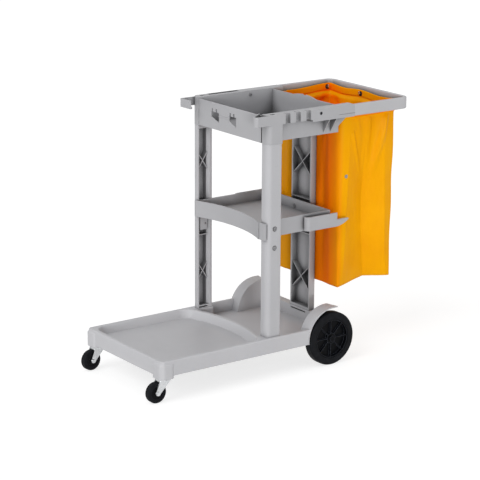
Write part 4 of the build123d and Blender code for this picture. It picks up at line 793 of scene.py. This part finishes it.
def fold_out(column, h):
    """How far the cloth stands out from the plan."""
    kind, number, share = column
    free = 1 - smooth(RIM_START, RIM_FLAT, h)
    if kind == "corner":
        return wander(number, h) * free
    a = panel_share(number, share, h)
    off_corner = smooth(0.0, 0.2, min(share, 1 - share))
    out = PANEL_FOLDS[number](a, h)
    # Each panel reads a part of the noise of its own.
    spot = Vector((number * 3.0 + share * 2.2, h * 1.9, number * 1.7))
    out += RIPPLE * noise.noise(spot * 2.3) * off_corner
    out += CRUMPLE * noise.noise(spot * 8.0) * off_corner
    out += wander(number, h) * (1 - smooth(0.0, 0.25, share))
    out += wander((number + 1) % 4, h) * smooth(0.75, 1.0, share)
    return out * free


def bottom_lift(column, h):
    """How far the bottom edge is raised: least at the front, most where the side crease pulls it up."""
    kind, number, share = column
    if kind == "corner":
        lift = REAR_LIFT if number in REAR_CORNERS else FRONT_LIFT
    elif number == REAR:
        lift = REAR_LIFT
    elif number == FRONT_PANEL:
        lift = FRONT_LIFT
    else:
        lift = between(SIDE_LIFT, panel_share(number, share, h))
    return lift * (1 - smooth(0.0, LIFT_END, h))


middle_of_left = ("panel", SIDE_LEFT, 0.5)
print("left middle, half way up, stands out by", round(1000 * fold_out(middle_of_left, 0.5), 1), "mm")

# %% [markdown]
# ## Waste bag: its rim
# The rim hangs on eyelets, so it dips and bows inwards a little between each two of them, and lies flat
# against the metal at each. A hanging chain would be the exact curve. A squared sine between neighbouring
# eyelets, measured along the rim, looks the same at this depth and starts level at each eyelet, and its
# depth grows with the gap, so that a long gap sags more than a short one.

# %% Columns and eyelets
EYELET_DROP = 0.015
EYELET_Z = bag_high.z - EYELET_DROP
SIDE_EYELET_X = 0.545
REAR_EYELET_Y = 0.023
FRONT_EYELET_Y = 0.118
EYELETS = [
    (SIDE_LEFT, Vector((SIDE_EYELET_X, -HEM_HALF, EYELET_Z))),
    (REAR, Vector((HEM_BACK, REAR_EYELET_Y, EYELET_Z))),
    (SIDE_RIGHT, Vector((SIDE_EYELET_X, HEM_HALF, EYELET_Z))),
    (FRONT_PANEL, Vector((FRONT, FRONT_EYELET_Y, EYELET_Z))),
    (FRONT_PANEL, Vector((FRONT, -FRONT_EYELET_Y, EYELET_Z))),
]
PANEL_STEPS = (80, 56, 80, 56)
CORNER_STEPS = 4
COLUMNS = []
for side in range(4):
    COLUMNS += [("panel", side, i / PANEL_STEPS[side]) for i in range(PANEL_STEPS[side])]
    COLUMNS += [("corner", (side + 1) % 4, i / CORNER_STEPS) for i in range(CORNER_STEPS)]
print("columns", len(COLUMNS), "eyelets", len(EYELETS))

# %% Rim between the eyelets
rim_points = [plan_point(column, TOP)[0] for column in COLUMNS]
rim_lengths = [0.0]
for here, there in zip(rim_points, rim_points[1:] + rim_points[:1]):
    rim_lengths.append(rim_lengths[-1] + (there - here).length)
girth = rim_lengths.pop()
hung_at = []
for _, spot in EYELETS:
    level_spot = Vector((spot.x, spot.y, TOP))
    nearest = min(range(len(COLUMNS)), key=lambda i: (rim_points[i] - level_spot).length)
    hung_at.append(rim_lengths[nearest])
hung_at.sort()


def rim_slack(length):
    """0 at an eyelet and 1 half way to the next, with the gap between the two."""
    stops = [hung_at[-1] - girth] + hung_at + [hung_at[0] + girth]
    for first, last in zip(stops, stops[1:]):
        if first <= length <= last:
            return math.sin(math.pi * (length - first) / (last - first)) ** 2, last - first
    return 0.0, girth


SLACK_OF_COLUMN = {column: rim_slack(length) for column, length in zip(COLUMNS, rim_lengths)}
print("rim", round(girth, 3), "eyelets along it", [round(length, 3) for length in hung_at])

# %% [markdown]
# ## Waste bag: the cloth
# Each point of the cloth is its plan place, pushed out by the folds, raised at the bottom edge and lowered
# at the rim. The sheet goes up the outside, turns over at the top and comes down again inside as a hem. The
# hem could be a thicker rim, but the real one is sewn this way, and it puts two layers between the eyelet's
# flanges. A map in metres records how far round and how far up each point lies, so that the weave follows
# the cloth.

# %% One point of the cloth
RIM_BOW = 0.004
RIM_SAG_SHARE = 0.026
RIM_SAG_MOST = 0.008


def cloth_point(column, level, slack_of=None):
    """Point at a level from 0 (bottom) to 1 (rim), and its outward direction."""
    z = BOTTOM + HEIGHT * level
    place, out = plan_point(column, z)
    slack, gap = slack_of or SLACK_OF_COLUMN[column]
    near_rim = smooth(RIM_START, RIM_FULL, level)
    place += out * fold_out(column, level)
    place -= out * RIM_BOW * slack * near_rim
    place.z += bottom_lift(column, level) - min(RIM_SAG_SHARE * gap, RIM_SAG_MOST) * slack * near_rim
    return place, out


print("front left foot of the bag", [round(v, 3) for v in cloth_point(COLUMNS[0], 0.0)[0]])

# %% Rows of the cloth
BODY_ROWS = 100
RIM_ROWS = 20
HEM_DEPTH = 0.026
HEM_ROWS = 7
TURN_STEPS = 4
LEVELS = [RIM_START * i / BODY_ROWS for i in range(BODY_ROWS)]
LEVELS += [RIM_START + (1 - RIM_START) * i / RIM_ROWS for i in range(RIM_ROWS + 1)]


def cloth_rows():
    """Rows of (points, height on the flat cloth) from the bottom over the rim to the hem's inner edge."""
    rows = []
    for level in LEVELS:
        rows.append(([cloth_point(column, level)[0] for column in COLUMNS], level * HEIGHT))
    top = [cloth_point(column, 1.0) for column in COLUMNS]
    radius = HEM_FOLD / 2
    for step in range(1, TURN_STEPS):
        angle = math.pi * step / TURN_STEPS
        shift = radius - radius * math.cos(angle)
        row = [place - out * shift + Vector((0, 0, radius * math.sin(angle))) for place, out in top]
        rows.append((row, HEIGHT + radius * angle))
    for step in range(HEM_ROWS + 1):
        drop = HEM_DEPTH * step / HEM_ROWS
        level = 1 - drop / HEIGHT
        row = [place - out * HEM_FOLD for place, out in (cloth_point(column, level) for column in COLUMNS)]
        rows.append((row, HEIGHT + math.pi * radius + drop))
    return rows


bag_rows = cloth_rows()
print("rows", len(bag_rows), "cloth from bottom edge to hem", round(bag_rows[-1][1], 3))

# %% Sleeve and bottom of the bag
BOTTOM_RINGS = 14
BOTTOM_RAISE = 0.002
BOTTOM_RIPPLE = 0.0015


def add_sleeve(mesh, flat, rows):
    """Walls and hem, with their map in metres. Gives back the ring of points at the bottom edge."""
    rings = [[mesh.verts.new(point) for point in points] for points, _ in rows]
    count = len(COLUMNS)
    ends = rim_lengths + [girth]
    for row in range(len(rows) - 1):
        low_v = rows[row][1]
        high_v = rows[row + 1][1]
        for i in range(count):
            j = (i + 1) % count
            face = mesh.faces.new((rings[row][i], rings[row][j], rings[row + 1][j], rings[row + 1][i]))
            spots = ((ends[i], low_v), (ends[i + 1], low_v), (ends[i + 1], high_v), (ends[i], high_v))
            for loop, spot in zip(face.loops, spots):
                loop[flat].uv = spot
    return rings[0]


def add_bottom(mesh, edge):
    """Rings that close the bottom from its edge to the middle."""
    count = len(edge)
    middle = sum((vertex.co for vertex in edge), Vector()) / count
    middle.z = BOTTOM + BOTTOM_RAISE
    previous = edge
    for step in range(1, BOTTOM_RINGS):
        share = step / BOTTOM_RINGS
        level = BOTTOM + BOTTOM_RAISE + BOTTOM_RIPPLE * noise.noise(Vector((share * 6, 0.2, 0.9)))
        ring = []
        for vertex in edge:
            point = vertex.co.lerp(middle, share)
            point.z = vertex.co.z + (level - vertex.co.z) * smooth(0.0, 0.5, share)
            ring.append(mesh.verts.new(point))
        for i in range(count):
            j = (i + 1) % count
            mesh.faces.new((previous[j], previous[i], ring[i], ring[j]))
        previous = ring
    centre = mesh.verts.new(middle)
    for i in range(count):
        mesh.faces.new((previous[(i + 1) % count], previous[i], centre))


def bag_sheet(rows):
    """Sleeve, hem and bottom as one open-topped sheet with its map in metres."""
    mesh = bmesh.new()
    flat = mesh.loops.layers.uv.new("cloth")
    add_bottom(mesh, add_sleeve(mesh, flat, rows))
    for face in mesh.faces:
        for loop in face.loops:
            if loop[flat].uv.length == 0.0:
                loop[flat].uv = (loop.vert.co.x, loop.vert.co.y)
    return mesh


bag_mesh = bag_sheet(bag_rows)
print("faces of the sheet", len(bag_mesh.faces))

# %% Holes for the eyelets
BARREL = 0.0073
HOLE_CUT = 0.0068
HOLE_REACH = 0.0125
LAYER_REACH = 0.006


def off_axis(point, spot, way):
    """Offset of a point from the line through an eyelet."""
    offset = point - spot
    return offset - way * offset.dot(way)


def in_layers(point, spot, way):
    """Whether a point lies in the two layers of cloth at an eyelet."""
    return abs((point - spot).dot(way)) < LAYER_REACH


def punch_eyelet(mesh, spot, way):
    """Round hole through both layers where an eyelet's barrel passes."""
    inside = []
    for face in mesh.faces:
        centre = face.calc_center_median()
        if in_layers(centre, spot, way) and off_axis(centre, spot, way).length < HOLE_CUT:
            inside.append(face)
    bmesh.ops.delete(mesh, geom=inside, context="FACES")
    for vertex in mesh.verts:
        offset = off_axis(vertex.co, spot, way)
        at_hole = 0.0 < offset.length < HOLE_REACH and in_layers(vertex.co, spot, way)
        if vertex.is_boundary and at_hole:
            vertex.co += offset * (BARREL / offset.length - 1)


for panel, spot in EYELETS:
    punch_eyelet(bag_mesh, spot, OUTWARD[panel])
cloth_area = sum(face.calc_area() for face in bag_mesh.faces)
print("faces with holes", len(bag_mesh.faces), "cloth area", round(cloth_area, 4))


# %% Build the bag
def piece_from(mesh, name, material):
    """Smooth object at the origin from a finished bmesh."""
    data = bpy.data.meshes.new(name)
    mesh.to_mesh(data)
    mesh.free()
    for polygon in data.polygons:
        polygon.use_smooth = True
    data.materials.append(material)
    piece = bpy.data.objects.new(name, data)
    scene.collection.objects.link(piece)
    return piece


def thicken(piece, thickness):
    """Gives a sheet its thickness on the inner side."""
    wall = piece.modifiers.new("thickness", "SOLIDIFY")
    wall.thickness = thickness
    wall.offset = -1.0


bag = piece_from(bag_mesh, "vinyl_bag", bag_vinyl.material)
thicken(bag, CLOTH)
print("bag faces", len(bag.data.polygons), "cloth", CLOTH)

# %% [markdown]
# ## Stitches
# The hem is held by one row of thread, which shows on both sides, the bottom is sewn in by another just
# above the edge, and a lapped seam runs down the rear panel with a row on each side. Stitches could be
# copied one by one, but they are all alike and follow a path, which is what Geometry Nodes are for: the
# tree walks along the path, sets a short thread on each step and turns it along the path. Thread size and
# pitch are inputs, so that each row can have its own.

# %% Tree that sews along a path
STITCH_PITCH = 0.0045
STITCH_LENGTH = 0.0034
THREAD_THICKNESS = 0.0009


def sewing_tree(material):
    """Geometry Nodes tree that lays stitches along the edges of a mesh, and its inputs' identifiers."""
    tree = bpy.data.node_groups.new("sewn_row", "GeometryNodeTree")
    sockets = tree.interface
    sockets.new_socket("Path", in_out="INPUT", socket_type="NodeSocketGeometry")
    sizes = {"Pitch": STITCH_PITCH, "Stitch Length": STITCH_LENGTH, "Thread": THREAD_THICKNESS}
    identifiers = {}
    for name, value in sizes.items():
        socket = sockets.new_socket(name, in_out="INPUT", socket_type="NodeSocketFloat")
        socket.default_value = value
        identifiers[name] = socket.identifier
    sockets.new_socket("Stitches", in_out="OUTPUT", socket_type="NodeSocketGeometry")
    nodes = tree.nodes
    given = nodes.new("NodeGroupInput")
    path = nodes.new("GeometryNodeMeshToCurve")
    steps = nodes.new("GeometryNodeResampleCurve")
    steps.mode = "LENGTH"
    bead = nodes.new("GeometryNodeMeshIcoSphere")
    bead.inputs["Radius"].default_value = 0.5
    bead.inputs["Subdivisions"].default_value = 1
    tangent = nodes.new("GeometryNodeInputTangent")
    turn = nodes.new("FunctionNodeAlignRotationToVector")
    turn.axis = "X"
    size = nodes.new("ShaderNodeCombineXYZ")
    sewn = nodes.new("GeometryNodeInstanceOnPoints")
    real = nodes.new("GeometryNodeRealizeInstances")
    finish = nodes.new("GeometryNodeSetMaterial")
    finish.inputs["Material"].default_value = material
    done = nodes.new("NodeGroupOutput")
    wires = [
        (given.outputs["Path"], path.inputs["Mesh"]),
        (path.outputs["Curve"], steps.inputs["Curve"]),
        (given.outputs["Pitch"], steps.inputs["Length"]),
        (tangent.outputs["Tangent"], turn.inputs["Vector"]),
        (given.outputs["Stitch Length"], size.inputs["X"]),
        (given.outputs["Thread"], size.inputs["Y"]),
        (given.outputs["Thread"], size.inputs["Z"]),
        (steps.outputs["Curve"], sewn.inputs["Points"]),
        (bead.outputs["Mesh"], sewn.inputs["Instance"]),
        (turn.outputs["Rotation"], sewn.inputs["Rotation"]),
        (size.outputs["Vector"], sewn.inputs["Scale"]),
        (sewn.outputs["Instances"], real.inputs["Geometry"]),
        (real.outputs["Geometry"], finish.inputs["Geometry"]),
        (finish.outputs["Geometry"], done.inputs["Stitches"]),
    ]
    for source, target in wires:
        tree.links.new(source, target)
    return tree, identifiers


sewing, sewing_input = sewing_tree(bag_thread.material)
print("sewing inputs", list(sewing_input))


# %% Sew the hem and the bottom
def baked(piece):
    """Turns a piece with live nodes into a plain mesh."""
    graph = bpy.context.evaluated_depsgraph_get()
    data = bpy.data.meshes.new_from_object(piece.evaluated_get(graph))
    piece.modifiers.clear()
    piece.data = data
    for polygon in data.polygons:
        polygon.use_smooth = True
    return piece


def sew(name, points, closed, pitch):
    """Row of stitches along points."""
    mesh = bmesh.new()
    verts = [mesh.verts.new(point) for point in points]
    for first, last in zip(verts, verts[1:]):
        mesh.edges.new((first, last))
    if closed:
        mesh.edges.new((verts[-1], verts[0]))
    row = piece_from(mesh, name, bag_thread.material)
    nodes = row.modifiers.new("sewing", "NODES")
    nodes.node_group = sewing
    nodes[sewing_input["Pitch"]] = pitch
    return baked(row)


HEM_SEW_DEPTH = 0.021
BOTTOM_SEW_LEVEL = 0.010
BOTTOM_PITCH = 0.0050
PROUD = 0.0002
hem_line = [cloth_point(column, 1 - HEM_SEW_DEPTH / HEIGHT) for column in COLUMNS]
hem_outside = [place + out * PROUD for place, out in hem_line]
hem_inside = [place - out * (HEM_FOLD + PROUD) for place, out in hem_line]
bottom_line = [cloth_point(column, BOTTOM_SEW_LEVEL) for column in COLUMNS]
bottom_outside = [place + out * PROUD for place, out in bottom_line]
stitch_rows = [
    sew("hem_stitches_outside", hem_outside, True, STITCH_PITCH),
    sew("hem_stitches_inside", hem_inside, True, STITCH_PITCH),
    sew("bottom_stitches", bottom_outside, True, BOTTOM_PITCH),
]
print("stitch faces", [len(row.data.polygons) for row in stitch_rows])

# %% [markdown]
# ## Rear seam
# The sleeve is closed by a lapped seam on the rear panel: a second layer of cloth, sewn down on both sides.
# It could be left to the bump of the material, but its edge casts a fine shadow and belongs in the mesh. A
# strip that follows the cloth's own points, lifted by its thickness, bends with the folds by itself.

# %% Rear seam
SEAM_SHARE = 0.80
SEAM_HALF = 0.017
SEAM_FOOT = 0.012
SEAM_TOP = 0.955
SEAM_STEPS = 110
SEAM_LINES = (-1.0, -0.6, -0.2, 0.2, 0.6, 1.0)
SEAM_LIFT = 0.0010
SEAM_CLOTH = 0.0009
SEAM_SLACK = (0.3, 0.3)
SEAM_ROWS = {"seam_stitches_one": -0.7, "seam_stitches_two": 0.7}


def seam_point(offset, level, lift):
    """Point on the rear panel beside the seam, raised off the cloth."""
    place, out = cloth_point(("panel", REAR, SEAM_SHARE + offset), level, SEAM_SLACK)
    return place + out * lift


def seam_strip(levels):
    """Strip of cloth along the seam with its map in metres."""
    mesh = bmesh.new()
    flat = mesh.loops.layers.uv.new("cloth")
    strips = []
    for level in levels:
        points = [seam_point(SEAM_HALF * line, level, SEAM_LIFT) for line in SEAM_LINES]
        strips.append([mesh.verts.new(point) for point in points])
    for low_strip, high_strip in zip(strips, strips[1:]):
        for i in range(len(SEAM_LINES) - 1):
            mesh.faces.new((low_strip[i], low_strip[i + 1], high_strip[i + 1], high_strip[i]))
    for face in mesh.faces:
        for loop in face.loops:
            loop[flat].uv = (loop.vert.co.y, loop.vert.co.z)
    return mesh


seam_levels = [SEAM_FOOT + (SEAM_TOP - SEAM_FOOT) * i / SEAM_STEPS for i in range(SEAM_STEPS + 1)]
seam = piece_from(seam_strip(seam_levels), "rear_seam", bag_vinyl.material)
thicken(seam, SEAM_CLOTH)
for row_name, line in SEAM_ROWS.items():
    points = [seam_point(SEAM_HALF * line, level, SEAM_LIFT + PROUD) for level in seam_levels]
    stitch_rows.append(sew(row_name, points, False, STITCH_PITCH))

for piece in [bag, seam] + stitch_rows:
    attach(piece, "frame")
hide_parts("waste_bag")
print("seam faces", len(seam.data.polygons), "rows of stitches", len(stitch_rows))

# %% [markdown]
# ## The cloth as it was cut
# Before it was sewn, the bag was a sleeve as wide as its rim is round, with the hem allowance on top, and a
# rectangle for its bottom. Both come from one width of cloth. The mesh doesn't tell which of its folds are
# sewn and which just hang.

# %% [markdown]
# ## Floor
# The cart stands on white paper. Paper lit by the lamps alone would come out grey, and more light would
# wash out the cart. So the floor's material is lifted to white for the camera and for reflections only: it
# is a darker paper with a glow of its own there, and a plain pale paper for all other light. The plastic
# keeps its colour, and the floor keeps the cart's soft shadow.

# %% Floor
FLOOR_HALF = 40.0
FLOOR_PAPER = 0.85
FLOOR_SEEN = 0.40
FLOOR_LIFT = 0.74


def seen_directly(nodes, links):
    """1 for what the camera sees, also in gloss and through clear things, else 0."""
    ray = nodes.new("ShaderNodeLightPath")
    seen = ray.outputs["Is Camera Ray"]
    for other in ("Is Glossy Ray", "Is Transmission Ray"):
        either = nodes.new("ShaderNodeMath")
        either.operation = "MAXIMUM"
        links.new(seen, either.inputs[0])
        links.new(ray.outputs[other], either.inputs[1])
        seen = either.outputs[0]
    return seen


def seen_or_lit(nodes, links, lit, seen):
    """One value for what the camera sees, and another for the light that falls on the cart."""
    node = nodes.new("ShaderNodeMapRange")
    node.inputs["To Min"].default_value = lit
    node.inputs["To Max"].default_value = seen
    links.new(seen_directly(nodes, links), node.inputs["Value"])
    return node.outputs["Result"]


floor_finish = bpy.data.materials.new("studio_floor")
floor_finish.use_nodes = True
floor_nodes = floor_finish.node_tree.nodes
floor_links = floor_finish.node_tree.links
floor_nodes.clear()
paper = floor_nodes.new("ShaderNodeBsdfDiffuse")
glow = floor_nodes.new("ShaderNodeEmission")
paper_and_glow = floor_nodes.new("ShaderNodeAddShader")
floor_output = floor_nodes.new("ShaderNodeOutputMaterial")
floor_links.new(seen_or_lit(floor_nodes, floor_links, FLOOR_PAPER, FLOOR_SEEN), paper.inputs["Color"])
floor_links.new(seen_or_lit(floor_nodes, floor_links, 0.0, FLOOR_LIFT), glow.inputs["Strength"])
floor_links.new(paper.outputs[0], paper_and_glow.inputs[0])
floor_links.new(glow.outputs[0], paper_and_glow.inputs[1])
floor_links.new(paper_and_glow.outputs[0], floor_output.inputs["Surface"])
floor_mesh = bmesh.new()
bmesh.ops.create_grid(floor_mesh, x_segments=2, y_segments=2, size=FLOOR_HALF)
floor = piece_from(floor_mesh, "studio_floor", floor_finish)
print("floor", FLOOR_PAPER, "lifted by", FLOOR_LIFT)

# %% [markdown]
# ## Light
# The studio for such a cart is white all round, so most of the light comes from everywhere. A low wall of
# light on the left picks out the upright faces, and a broader one high in front lights the decks and
# reaches in under the shelf. Area lamps would fall off across the cart. Suns with a wide disc stand for
# such large walls instead: their shadows are as soft, and their level is the same all over.

# %% Backdrop and light walls
AMBIENT = 0.54
world = bpy.data.worlds.new("studio")
world.use_nodes = True
sky_nodes = world.node_tree.nodes
sky_links = world.node_tree.links
backdrop = sky_nodes["Background"]
backdrop.inputs["Color"].default_value = PLAIN_WHITE
sky_links.new(seen_or_lit(sky_nodes, sky_links, AMBIENT, 1.0), backdrop.inputs["Strength"])
scene.world = world


def light_wall(name, comes_from, level, spread):
    """Wide soft sun. At level 1 a face turned to it shows its colour as written."""
    data = bpy.data.lights.new(name, "SUN")
    data.energy = level * math.pi
    data.angle = math.radians(spread)
    lamp = bpy.data.objects.new(name, data)
    lamp.rotation_euler = Vector(comes_from).to_track_quat("Z", "Y").to_euler()
    scene.collection.objects.link(lamp)


light_wall("low_wall", comes_from=(-0.44, -0.90, 0.04), level=0.47, spread=12.0)
light_wall("high_wall", comes_from=(-0.70, -0.12, 0.70), level=0.37, spread=40.0)
scene.view_settings.view_transform = "Standard"

# %% [markdown]
# The dressed cart has to stay in the cart's own box.
